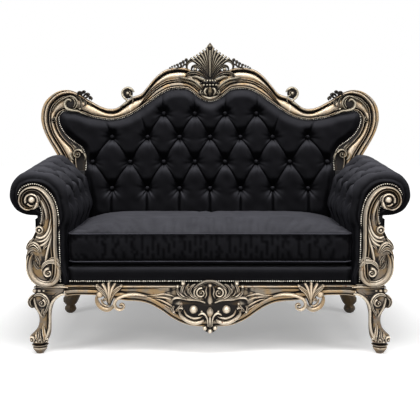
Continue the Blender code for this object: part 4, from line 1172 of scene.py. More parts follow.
@dataclass(frozen=True)
class Strand:
    """A raised strip of carving.

    Attributes:
        line: Its middle and half width, in millimetres: (x, z, half width).
        proud: How far its crown stands out, in millimetres.
        cut: The shape of its section.
        lobes: How many lobes its edges have on each side, for a leaf.
        sink: How deep its back lies under its ground, in millimetres.
        tip: How much further out its last end stands, in millimetres.
        tone: How much darker it is painted, from -1 to 1: wax, and painted shade on recessed plates and discs
            in hollows; below 0 it is painted lighter, as rubbed leaf and painted highlight.
    """

    line: Line
    proud: float
    cut: Cut = Cut.ROUND
    lobes: int = 0
    sink: float = 3.0
    tip: float = 0.0
    tone: float = 0.0

    def height(self, t: Array) -> Array:
        """Share of the full height at t across.

        Args:
            t: Places across, from -1 to 1.

        Returns:
            The shares.
        """
        dome = np.sqrt(np.maximum(1 - t * t, 0.0))
        if self.cut is Cut.FLUTED:
            return dome * (1 - 0.55 * np.exp(-((t / 0.24) ** 2)))
        if self.cut is Cut.KEELED:
            hollow = 0.55 + 0.45 * np.abs(t) ** 1.5
            rib = np.exp(-((t / 0.16) ** 2))
            return dome**0.6 * np.maximum(hollow, rib)
        return dome

    def carved(self, ground: Ground) -> Shape:
        """The strip's mesh.

        Args:
            ground: Y of the surface that it lies on, for an array of heights in metres.

        Returns:
            A closed mesh.
        """
        rough = np.array(self.line, float)
        length = float(np.linalg.norm(np.diff(rough[:, :2], axis=0), axis=1).sum())
        wide = float(rough[:, 2].max())
        face_mm = 1.7
        columns = int(np.clip(length / face_mm, 10, 140))
        rows = int(np.clip(wide * 1.2, 7, 14) if self.cut is Cut.ROUND else np.clip(wide * 1.5, 8, 26))
        line = smooth(self.line, columns + 1) * MM
        side = normals_of(line)

        def place(u: Array, v: Array) -> Array:
            """Points of the strip, and of its back at both edges."""
            k = np.rint(u * columns).astype(int)
            j = np.rint(v * rows).astype(int)
            t = np.where(j == rows, -1.0, 2 * j / (rows - 1) - 1)
            half = np.maximum(line[k, 2], 0.0003)
            reach = half.copy()
            high = self.height(t) * self.proud * MM * (half / (wide * MM)) ** 0.55
            if self.lobes:
                phase = self.lobes * u - 0.55 * np.abs(t)
                scallop = np.abs(np.sin(math.pi * phase)) ** 0.55
                reach = half * (1 - 0.34 * (1 - scallop) * np.abs(t))
                high = high * (1 - 0.45 * (1 - scallop) * np.minimum(1.0, 1.6 * np.abs(t)))
            high = high + self.tip * MM * ease((u - 0.55) / 0.45)
            base = (np.abs(t) > 0.999) & ((j == 0) | (j >= rows - 1))
            x = line[k, 0] + side[k, 0] * t * reach
            z = line[k, 1] + side[k, 1] * t * reach
            return np.column_stack([x, ground(z) - np.where(base, -self.sink * MM, high), z])

        bm = shaped(columns, rows, place, closed=True, caps=True)
        return toned(bm, [self.tone] * len(bm.verts))


@dataclass(frozen=True)
class Bead:
    """A round boss in millimetres: its middle, half width, half height, how far it stands out, its tone; a
    flat dark one in a scroll's eye paints the shade of that hollow.
    """

    x: float
    z: float
    wide: float
    high: float
    proud: float
    tone: float = 0.0

    def carved(self, ground: Ground) -> Shape:
        """Its mesh, an egg whose middle lies on its ground.

        Args:
            ground: Y of the surface that it lies on, for an array of heights.

        Returns:
            A closed mesh.
        """
        bm = bmesh.new()
        sides = int(np.clip(self.wide * 2.0, 10, 24))
        bmesh.ops.create_uvsphere(bm, u_segments=sides, v_segments=max(6, sides // 2), radius=1)
        middle = float(ground(np.array([self.z * MM]))[0])
        for v in bm.verts:
            x, z, y = v.co
            across, up = self.x + self.wide * x, self.z + self.high * z
            v.co = (MM * across, middle - MM * self.proud * y, MM * up)
        return toned(outward(bm), [self.tone] * len(bm.verts))


Parts = list[Strand | Bead]


def spiral(
    x: float, z: float, radius: float, start: float, turns: float, half: float, eye: float = 0.22
) -> tuple:
    """The line of a scroll that winds in to its eye, for a Strand.

    Args:
        x: Its eye's x, in millimetres.
        z: Its eye's z.
        radius: How far from the eye its line begins.
        start: The angle at which it begins, in degrees from +X towards +Z.
        turns: How many turns it makes, negative for clockwise.
        half: Half width where it begins.
        eye: Share of the radius and width that is left at the eye.

    Returns:
        Points as (x, z, half width).
    """
    steps = max(6, int(abs(turns) * 12))
    points = []
    for k in range(steps + 1):
        share = k / steps
        angle = math.radians(start) + 2 * math.pi * turns * share
        left = eye**share
        reach = radius * left
        points.append((x + reach * math.cos(angle), z + reach * math.sin(angle), half * (0.25 + 0.75 * left)))
    return tuple(points)


def mirrored(parts: Sequence[Strand | Bead]) -> Parts:
    """The parts and their mirror images across X = 0.

    Args:
        parts: Strips and beads of the right half.

    Returns:
        Both halves.
    """
    both: Parts = list(parts)
    for part in parts:
        if isinstance(part, Bead):
            both.append(replace(part, x=-part.x))
        else:
            both.append(replace(part, line=tuple((-x, z, w) for x, z, w in part.line)))
    return both


def carved(parts: Iterable[Strand | Bead], ground: Ground) -> Shape:
    """One mesh of several strips and beads that lie on a ground."""
    return joined(part.carved(ground) for part in parts)


@dataclass(frozen=True)
class Member:
    """One member of a moulding: its form, its width and heights in metres; width 0 takes what is left.

    Late members fade in between two shares of the way along, so that a moulding can gain a member.
    """

    form: Form
    wide: float
    low: float
    high: float
    samples: int = 8
    fade: tuple[float, float] = (-1.0, -0.5)
    tone: float = 0.0


@dataclass(frozen=True)
class Moulding:
    """A run moulding between two edge lines, worked from one edge to the other."""

    members: tuple[Member, ...]
    back: float
    fixed_share: float = 0.86

    def carved(self, pairs: Array, base: Placer, span: tuple[int, int] | None = None) -> Shape:
        """The moulding's mesh.

        Args:
            pairs: Edge points along it, one row each: (x, z, x, z) in metres.
            base: Y of its ground, from arrays of z and of depth behind the ground.
            span: First and last row of the stretch that is made.

        Returns:
            A closed mesh.
        """
        steps = len(pairs) - 1
        first, last = span or (0, steps)
        share = np.linspace(0.0, 1.0, steps + 1)
        wide = np.hypot(pairs[:, 2] - pairs[:, 0], pairs[:, 3] - pairs[:, 1])
        faded = [ease((share - m.fade[0]) / (m.fade[1] - m.fade[0])) for m in self.members]
        widths = np.array([m.wide * part for m, part in zip(self.members, faded)])
        fixed = widths.sum(axis=0)
        shrink = np.minimum(1.0, self.fixed_share * wide / np.maximum(fixed, 1e-9))
        widths *= shrink
        loose = [k for k, m in enumerate(self.members) if m.wide == 0]
        for k in loose:
            widths[k] = (wide - fixed * shrink) / len(loose)
        starts = np.cumsum(widths, axis=0) - widths
        across, proud, tone = [np.zeros(steps + 1)], [np.full(steps + 1, -self.back)], [0.0]
        for k, member in enumerate(self.members):
            for q in np.linspace(0, 1, member.samples + 1)[min(k, 1) :]:
                across.append((starts[k] + widths[k] * q) / wide)
                arch = 1 - (2 * q - 1) ** 2
                arch = arch if member.form is Form.FIELD else math.sqrt(max(0.0, arch))
                full = member.low + (member.high - member.low) * arch
                proud.append(np.full(steps + 1, full))
                tone.append(member.tone)
        tones = np.array([*tone, 0.0, 0.0])
        across.append(np.ones(steps + 1))
        proud.append(np.full(steps + 1, -self.back))
        across.append(across[0])
        proud.append(proud[0])
        t, out = np.array(across), np.array(proud)
        rows = len(t) - 1

        def place(u: Array, v: Array) -> Array:
            """Points of the moulding's section, row by row."""
            k, j = first + np.rint(u * (last - first)).astype(int), np.rint(v * rows).astype(int)
            x = pairs[k, 0] + (pairs[k, 2] - pairs[k, 0]) * t[j, k]
            z = pairs[k, 1] + (pairs[k, 3] - pairs[k, 1]) * t[j, k]
            return np.column_stack([x, base(z, -out[j, k]), z])

        def tone_at(u: Array, v: Array) -> Array:
            """The tone of each point's member."""
            return tones[np.rint(v * rows).astype(int)]

        return shaped(last - first, rows, place, closed=True, caps=True, tone=tone_at)


def over_back(depth: float) -> Ground:
    """The ground of an ornament on the leaning back, that far behind its front plane."""
    return lambda z: back_y(z, depth)


def over_front(depth: float) -> Ground:
    """The ground of an ornament on an upright face, that far behind the front rail's."""
    return lambda z: upright(z, depth)


# Assemblies


@dataclass(frozen=True)
class BackFrame:
    """The leafed frame round the back: two stiles, two halves of the crest and their carving.

    Lines of carving are in millimetres, on the right half. Depths are in metres behind the front
    plane of the back, and negative in front of it.
    """

    steps: int = 330
    joint_x: float = 0.3817
    over: float = -0.0165
    above: float = -0.0210
    # Coves are painted darker, as wax and painted shade in the grooves; negative tones paint rolls and the
    # field lighter, as rubbed leaf and painted highlight.
    members: tuple[Member, ...] = (
        Member(Form.ROLL, 0.019, 0.006, 0.016, 9, (0.44, 0.26), 0.16),
        Member(Form.ROLL, 0.013, 0.012, 0.027, 10, tone=-0.15),
        Member(Form.COVE, 0.009, 0.010, 0.002, 6, tone=0.75),
        Member(Form.ROLL, 0.005, 0.010, 0.018, 5, (0.47, 0.38)),
        Member(Form.COVE, 0.003, 0.011, 0.007, 3, (0.47, 0.38), 0.5),
        Member(Form.FIELD, 0.0, 0.013, 0.021, 8, tone=-0.12),
        Member(Form.COVE, 0.009, 0.011, 0.004, 5, (0.50, 0.42), 0.5),
        Member(Form.ROLL, 0.006, 0.012, 0.022, 6, (0.66, 0.72)),
        Member(Form.COVE, 0.003, 0.011, 0.006, 3, (0.66, 0.72), 0.4),
        Member(Form.ROLL, 0.005, 0.010, 0.018, 5, (0.66, 0.72)),
        Member(Form.COVE, 0.003, 0.009, 0.004, 3, (0.66, 0.72), 0.4),
        Member(Form.FIELD, 0.020, 0.008, 0.012, 4, (0.64, 0.76), 0.14),
        Member(Form.ROLL, 0.0065, 0.010, 0.025, 7, tone=-0.15),
        Member(Form.FIELD, 0.045, 0.006, 0.007, 3, (0.30, 0.0), 0.85),
    )

    def outline(self) -> Array:
        """Edge points of the right half: (outer x, outer z, inner x, inner z), foot first.

        Returns:
            A row for each step along the frame.
        """
        stile = [(ax + STILE_X, az, bx + STILE_X, bz) for ax, az, bx, bz in STILE]
        pairs = smooth([*stile, *CREST[1:]], self.steps + 1)
        share = np.linspace(0.0, 1.0, self.steps + 1)
        swell = 0.006 * ease((0.50 - share) / 0.10) + 0.006 * ease((0.16 - share) / 0.16)
        pairs[:, :2] = moved(pairs[:, :2], -swell[:, None])
        return pairs

    def build(self, shop: Workshop) -> None:
        """Makes the frame's moulding and its ornaments.

        Args:
            shop: Where its pieces go.
        """
        pairs = self.outline()
        split = int(np.argmin(np.abs(pairs[:, 0] - self.joint_x) + (pairs[:, 1] > 1.045)))
        moulding = Moulding(self.members, FRAME_BACK)
        for side in Side:
            for name, span in (("back_stile", (0, split)), ("crest_rail", (split, self.steps))):
                name = f"{name}_{side.mark}"
                rail = moulding.carved(pairs, back_y, span)
                shop.gild(f"{name}_moulding", rail, shop.finishes.leaf, name, side)
            for name, parts in (
                ("crest_volute", self.crest_volute()),
                ("shoulder_leaf", self.shoulder()),
                ("stile_scroll", self.stile_scroll()),
            ):
                name = f"{name}_{side.mark}"
                ornament = carved(parts, over_back(self.over))
                shop.gild(f"{name}_carving", ornament, shop.finishes.bronze, name, side)
        palmette = carved(self.palmette(), over_back(self.above))
        shop.gild("palmette_carving", palmette, shop.finishes.bronze, "crest_palmette")

    def crest_volute(self) -> Parts:
        """The volute that rises from the crest's roll, with its eye.

        Returns:
            Its strips and beads.
        """
        return [
            # A flat dark disc behind the volute: painted shade in its hollow.
            Bead(387, 1061, 24, 24, 5, 0.95),
            Strand(((420, 1001, 4), (402, 1010, 5.5), (385, 1024, 6), (392, 1031, 6), (407, 1046, 6.5),
                (413, 1064, 6.5), (404, 1080, 6.5), (386, 1087, 6.5), (369, 1080, 6), (357, 1067, 3)),
                16, tone=0.1),
            Strand(((366, 1017, 2), (363, 1034, 3.5), (369, 1048, 4), (378, 1054, 4), (374, 1064, 3),
                (380, 1072, 3)), 12),
            Bead(387, 1061, 10, 10, 17),
        ]

    def shoulder(self) -> Parts:
        """The open volute at the shoulder, the crescent beside it and the sprigs over it.

        Returns:
            Its strips and beads.
        """
        return [
            # A flat dark disc in the open volute: painted shade in its hollow.
            Bead(658, 1012, 27, 25, 8, 0.95),
            Strand(((744, 972, 2), (730, 1001, 3), (711, 1022, 3.5), (682, 1039, 4), (652, 1047, 4.5),
                (630, 1035, 4.5), (622, 1013, 4.5), (630, 994, 4), (644, 984, 3)), 18),
            Strand(((662, 1042, 2), (647, 1039, 3.5), (635, 1026, 4), (633, 1010, 4), (640, 996, 3.5)), 17),
            Strand(((652, 1022, 4), (657, 1030, 6), (668, 1031, 7), (681, 1018, 7.5), (680, 1000, 7.5),
                (668, 987, 7.5), (647, 981, 7), (622, 978, 6), (597, 967, 4.5), (570, 957, 2)),
                19, tone=-0.1),
            Strand(((642, 1057, 2), (618, 1044, 5), (607, 1026, 5.5), (606, 1008, 5), (611, 995, 4)),
                13, Cut.FLUTED),
            Bead(611, 988, 6.5, 6.5, 12),
            Strand(((604, 1040, 3), (590, 1026, 6), (585, 1012, 6), (592, 1002, 4), (600, 1001, 2)),
                11, Cut.KEELED),
            Strand(((600, 1036, 3), (583, 1030, 6), (566, 1018, 6), (556, 1004, 3)), 9, Cut.KEELED),
            Strand(((615, 1047, 4), (622, 1058, 5), (618, 1068, 5), (608, 1067, 4), (609, 1059, 2.5)),
                13, tone=0.5),
            Strand(((606, 1047, 4), (604, 1062, 5), (596, 1072, 4.5), (588, 1069, 3.5), (592, 1062, 2)),
                13, tone=0.5),
            Strand(((598, 1042, 4), (590, 1055, 5), (578, 1061, 4.5), (569, 1056, 4), (575, 1049, 2.5)),
                13, tone=0.5),
            Strand(((592, 1036, 4), (578, 1045, 5), (565, 1046, 4.5), (556, 1037, 4), (561, 1029, 2.5)),
                13, tone=0.5),
            *(Bead(x, z, 6, 6, 12, 0.75) for x, z in ((613, 1060), (597, 1064), (580, 1054), (566, 1038))),
            Strand(spiral(737, 938, 14, 120, 1.4, 3.6), 12),
            Bead(737, 938, 4, 4, 11),
        ]

    def stile_scroll(self) -> Parts:
        """The scroll at the stile's foot, its leaf and its trail of beads.

        Returns:
            Its strips and beads.
        """
        return [
            Strand(spiral(622, 776, 25, 160, -1.7, 5.5), 13),
            Bead(622, 776, 6, 6, 12),
            Strand(((652, 830, 2), (643, 816, 6), (634, 802, 8), (640, 788, 4)), 9, Cut.KEELED, 2),
            Strand(((596, 786, 3), (588, 774, 5), (584, 760, 4), (588, 750, 2)), 9),
            Strand(((650, 782, 2), (655, 770, 5), (650, 757, 5), (640, 750, 3)), 9),
            *(Bead(x, z, 3.2, 3.2, 8) for x, z in ((602, 800), (596, 794), (591, 787), (587, 779))),
        ]

    def palmette(self) -> Parts:
        """The fluted shell over the middle, its side lobes, collar and drop.

        Returns:
            Its strips and beads.
        """
        tips = ((17, 1275), (33, 1264), (48, 1253), (63, 1243), (77, 1235), (91, 1227))
        half: Parts = [
            Strand(((3 + 1.2 * k, 1142, 2.4), (5 + 3.6 * k, 1186 - 3 * k, 3.2), (0.64 * x, z - 21 - k, 4.8),
                (x, z, 5.6)), 17 - 0.4 * k, sink=9, tip=2, tone=0.10)
            for k, (x, z) in enumerate(tips)
        ]
        half += [
            Strand(((14, 1136, 4), (34, 1174, 7), (54, 1199, 8.5), (79, 1216, 9), (101, 1209, 8),
                (110, 1191, 6), (106, 1172, 3)), 15, Cut.FLUTED, sink=9, tone=0.28),
            Strand(((12, 1130, 4), (28, 1157, 6), (46, 1178, 8), (66, 1190, 8), (82, 1186, 6),
                (87, 1174, 4), (79, 1165, 2)), 16, Cut.FLUTED, sink=9, tone=0.20),
            Bead(69, 1173, 9.5, 9.5, 17),
            Strand(((28, 1146, 3), (48, 1162, 9), (62, 1160, 4)), 5, sink=8, tone=0.9),
            Strand(((12, 1126, 4), (33, 1143, 8), (60, 1156, 11), (88, 1158, 10), (110, 1147, 6),
                (113, 1138, 3)), 14, Cut.FLUTED, sink=6, tone=0.10),
            Strand(((12, 1119, 4), (36, 1127, 7), (62, 1138, 7), (84, 1139, 4)), 11, sink=6),
            *(Bead(x, z, r, r, 10, 0.45) for x, z, r in ((112, 1218, 8), (126, 1209, 8), (139, 1201, 7.5),
                (153, 1194, 7), (167, 1190, 6), (179, 1186, 5), (189, 1181, 4))),
            *(Strand(((x + 7, z - 24, 3), (x - 3, z - 14, 5), (x + 1, z - 4, 4.5), (x + 8, z - 2, 2.5)),
                10, sink=7, tone=0.4) for x, z in ((112, 1218), (126, 1209), (139, 1203), (153, 1198))),
            Strand(((32, 1080, 3), (48, 1098, 5), (70, 1117, 5.5), (96, 1128, 5.5), (124, 1133, 4),
                (146, 1134, 1.5)), 7),
            Strand(((36, 1072, 2.5), (54, 1090, 4), (76, 1106, 4.5), (104, 1116, 4), (132, 1120, 1.5)),
                5, tone=0.15),
            *(Bead(x, 1119, 6.4, 7, 17) for x in (12.5, 25)),
            *(Bead(x, 1099, 7, 6, 18) for x in (14, 29)),
            Bead(41, 1110, 5, 5, 12, 0.4),
            Strand(spiral(36, 1064, 11, 70, -1.2, 5), 17),
            Bead(36, 1064, 4.5, 4.5, 16),
            Strand(((8, 1086, 4), (20, 1080, 7), (25, 1066, 7), (16, 1052, 4)), 16),
        ]
        return [
            # A thin dark plate behind the shell's flutes: painted shade in the depth between them.
            Strand(((0, 1100, 22), (0, 1124, 18), (0, 1165, 24), (0, 1200, 44), (0, 1226, 64),
                (0, 1246, 46), (0, 1264, 22), (0, 1280, 8)), 3, sink=9, tone=0.9),
            Strand(((0, 1138, 3), (0, 1200, 4.8), (0, 1262, 5)), 19, sink=9, tone=0.08),
            Strand(((0, 1262, 5), (0, 1272, 11), (0, 1282, 15), (0, 1290, 9), (0, 1298, 1.5)),
                15, sink=9, tone=0.1),
            Bead(0, 1281, 5.5, 6, 22),
            *mirrored(half),
            Bead(0, 1119, 6.6, 8, 18),
            Bead(0, 1099, 7.5, 7, 19),
            Strand(((-34, 1109, 2.5), (-16, 1110, 4), (0, 1110, 4.5), (16, 1110, 4), (34, 1109, 2.5)),
                11, tone=0.6),
            Strand(((-36, 1088, 2.5), (-16, 1088, 4), (0, 1088, 4.5), (16, 1088, 4), (36, 1088, 2.5)),
                12, tone=0.7),
            Strand(((0, 1089, 8), (0, 1068, 11), (0, 1049, 4)), 20),
            Strand(((-44, 1054, 2), (-24, 1044, 5.5), (0, 1037, 7.5), (24, 1044, 5.5), (44, 1054, 2)),
                15, tone=-0.2),
        ]


@dataclass(frozen=True)
class SeatRail:
    """The shaped and moulded front rail with its middle ornament and leaf sprays.

    Lines are in millimetres on the right half, depths in metres behind the front of the seat.
    """

    steps: int = 300
    thick: float = 0.025
    over: float = -0.009
    # Coves are painted darker, as wax and painted shade in the grooves.
    members: tuple[Member, ...] = (
        Member(Form.ROLL, 0.008, 0.005, 0.011, 6),
        Member(Form.COVE, 0.003, 0.006, 0.002, 3, tone=0.6),
        Member(Form.ROLL, 0.019, 0.005, 0.016, 11),
        Member(Form.COVE, 0.004, 0.004, -0.001, 4, tone=0.85),
        Member(Form.FIELD, 0.0, 0.002, 0.007, 8, tone=0.06),
        Member(Form.COVE, 0.003, 0.003, 0.000, 4, tone=0.7),
        Member(Form.ROLL, 0.007, 0.006, 0.011, 6),
        Member(Form.COVE, 0.005, 0.001, -0.001, 3, tone=0.95),
    )

    def build(self, shop: Workshop) -> None:
        """Makes the rail and its ornaments.

        Args:
            shop: Where its pieces go.
        """
        top = RAIL_TOP - GAP
        half = [(x, z, x, top) for x, z in APRON]
        rows = [(-x, z, -x2, z2) for x, z, x2, z2 in reversed(half)] + half[1:]
        rail = Moulding(self.members, self.thick).carved(smooth(rows, self.steps + 1), upright)
        wavy = Strand(((110, 266, 1), (140, 263, 2), (172, 254, 2.4), (196, 243, 2.4), (222, 238, 2.2),
            (246, 243, 1)), 2.5, tone=0.95)
        wings = [
            Strand(((252, 240, 1), (216, 241, 3), (186, 246, 4), (158, 241, 3), (142, 236, 2)), 5, tone=-0.1),
            Strand(((244, 234, 1), (208, 234, 3), (178, 231, 4), (152, 220, 3)), 6),
            Strand(((232, 228, 1), (198, 222, 3), (170, 209, 4), (150, 196, 3)), 6, tone=-0.1),
            Strand(((218, 218, 1), (190, 206, 3), (162, 190, 3.5), (142, 176, 3)), 6),
        ]
        waves = carved(mirrored([wavy, *wings]), over_front(-0.004))
        shop.gild("front_rail_moulding", joined([rail, waves]), shop.finishes.leaf, "front_rail")
        for side in Side:
            name = f"apron_leaf_{side.mark}"
            spray = carved(self.spray(), over_front(self.over))
            shop.gild(f"{name}_carving", spray, shop.finishes.leaf, name, side)
        cartouche = carved(self.cartouche(), over_front(self.over))
        shop.gild("cartouche_carving", cartouche, shop.finishes.deep, "apron_cartouche")

    def spray(self) -> Parts:
        """Leaves that fan from one point, over a C scroll with two volutes.

        Returns:
            Its strips and beads.
        """
        leaves = [
            Strand(((398, 206, 2), (404, 230, 5), (417, 254, 8), (436, 271, 7.5), (449, 283, 3)),
                16, Cut.KEELED, tip=3),
            Strand(((398, 210, 2), (402, 240, 5), (410, 266, 6.5), (422, 287, 4)), 15, tip=3),
            Strand(((398, 214, 3), (398, 246, 5.5), (398, 272, 6.5), (399, 292, 3)), 17, tip=3),
            Strand(((398, 210, 2), (394, 240, 5), (387, 266, 6.5), (376, 287, 4)), 15, tip=3),
            Strand(((398, 206, 2), (392, 230, 5), (380, 254, 8), (362, 270, 7.5), (348, 281, 3)),
                16, Cut.KEELED, tip=3),
        ]
        tips = ((446, 281), (422, 286), (399, 290), (376, 286), (350, 280))
        return [
            # A thin dark plate behind the leaves: painted shade behind the carving.
            Strand(((398, 200, 5), (398, 222, 14), (398, 250, 32), (397, 272, 46), (397, 288, 40)),
                1.5, sink=2, tone=0.95),
            *leaves,
            *(Bead(x, z, 5, 5, 16) for x, z in tips),
            Bead(435, 246, 14, 14, 16),
            Strand(((447, 240, 5), (448, 222, 7.5), (440, 203, 9), (424, 190, 10), (405, 185, 10),
                (389, 192, 8), (380, 206, 4)), 17, tone=-0.05),
            Strand(((430, 226, 3), (424, 210, 3.5), (412, 201, 3.5), (400, 202, 2.5)), 12, tone=0.1),
            Strand(spiral(417, 223, 9, 200, -1.3, 3.2), 13),
            Bead(417, 223, 3, 3, 14),
            Strand(((250, 238, 3), (290, 246, 6), (330, 243, 7), (362, 231, 7), (377, 213, 7),
                (374, 194, 6.5), (358, 184, 6), (343, 190, 5), (341, 203, 4.5), (351, 208, 4),
                (358, 201, 3)), 15),
            Bead(351, 199, 5, 5, 15),
        ]

    def cartouche(self) -> Parts:
        """The middle ornament: an arch, two spirals, wings, two big balls, bells and a pointed drop.

        Returns:
            Its strips and beads.
        """
        half: Parts = [
            Strand(((0, 299, 4.5), (18, 296, 5), (38, 286, 5.5), (54, 276, 5), (64, 270, 3)), 17, Cut.FLUTED),
            Strand(spiral(35, 253, 21, 100, -1.9, 5.5), 17),
            Bead(35, 253, 4.5, 4.5, 15),
            Strand(((24, 284, 2), (44, 280, 4), (59, 267, 4.5), (62, 250, 4.5), (52, 236, 4), (36, 230, 2)),
                14),
            Strand(((12, 278, 2), (16, 262, 3.5), (14, 246, 3.5), (20, 232, 2)), 13),
            Strand(((58, 286, 2), (72, 277, 4.5), (79, 261, 5.5), (73, 245, 6), (55, 234, 6), (36, 229, 4),
                (25, 225, 2)), 15, Cut.FLUTED),
            Strand(((84, 287, 2), (93, 270, 5), (91, 251, 5.5), (76, 237, 5), (60, 229, 2)), 13, Cut.KEELED),
            Strand(((100, 288, 3), (109, 273, 5.5), (110, 256, 5.5), (98, 242, 5), (80, 233, 2)),
                14, Cut.KEELED),
            Strand(((128, 272, 3), (126, 254, 5.5), (112, 240, 6.5), (88, 230, 6), (64, 225, 2)),
                15, Cut.FLUTED),
            Bead(106, 290, 8, 8, 15),
            Bead(128, 277, 6, 6, 13),
            Strand(((151, 219, 2), (139, 231, 4), (114, 232, 4.5), (90, 226, 4.5), (66, 225, 4),
                (42, 222, 4), (20, 213, 3)), 12),
            Strand(((122, 262, 1), (116, 250, 3.5), (104, 240, 4), (90, 236, 2)), 16, tone=0.1),
            Strand(((96, 272, 1), (100, 258, 3), (94, 246, 3.5), (84, 240, 2)), 16, tone=0.1),
            Strand(((70, 276, 1), (84, 268, 3), (86, 256, 3.5), (80, 246, 2)), 15, tone=0.1),
            Strand(spiral(118, 183, 12, 150, -1.3, 3.6), 15),
            Bead(65, 186, 16.5, 16.5, 25, 0.06),
            Strand(((120, 186, 3), (117, 163, 6), (94, 143, 8.5), (62, 131, 9), (36, 136, 8), (25, 145, 4)),
                18, tone=-0.15),
            Strand(((103, 184, 2.5), (92, 163, 5), (66, 151, 6), (42, 153, 5), (30, 160, 3)), 13, tone=0.1),
            Strand(((114, 210, 2), (116, 198, 6), (125, 188, 7), (136, 179, 3)), 13, Cut.KEELED),
            Bead(113, 209, 5, 5, 13),
            Bead(143, 176, 5.5, 5.5, 12),
            Strand(((142, 200, 2), (148, 187, 5), (142, 170, 5), (130, 158, 2)), 11, Cut.KEELED),
            Strand(((46, 163, 3), (32, 171, 5.5), (18, 164, 5.5), (9, 145, 5), (7, 118, 3)), 16),
            Bead(33, 177, 4.5, 4.5, 12),
            Bead(20, 110, 9.5, 9.5, 15),
        ]
        return [
            *mirrored(half),
            # Thin plates behind the carving, painted dark: wax and painted shade in the recess.
            Strand(((0, 296, 20), (0, 284, 62), (0, 268, 122), (0, 250, 116), (0, 232, 70)),
                1.2, sink=2, tone=0.8),
            Strand(((0, 240, 60), (0, 227, 128), (0, 210, 147), (0, 188, 140), (0, 164, 122), (0, 140, 70),
                (0, 122, 20)), 1.5, sink=2, tone=0.26),
            Strand(((0, 128, 8), (0, 114, 27), (0, 100, 24), (0, 90, 8)), 3, sink=2, tone=0.95),
            Strand(((0, 292, 3), (0, 283, 8.5), (0, 271, 4), (0, 246, 5), (0, 228, 9), (0, 214, 9.5),
                (0, 204, 2)), 18, tone=-0.1),
            Strand(((0, 194, 3), (0, 186, 9), (0, 176, 14), (0, 163, 11), (0, 154, 4)), 22, tone=-0.15),
            Strand(((0, 172, 3), (0, 146, 6), (0, 116, 2.5)), 18),
            Bead(0, 98, 9.5, 9.5, 17, -0.1),
        ]


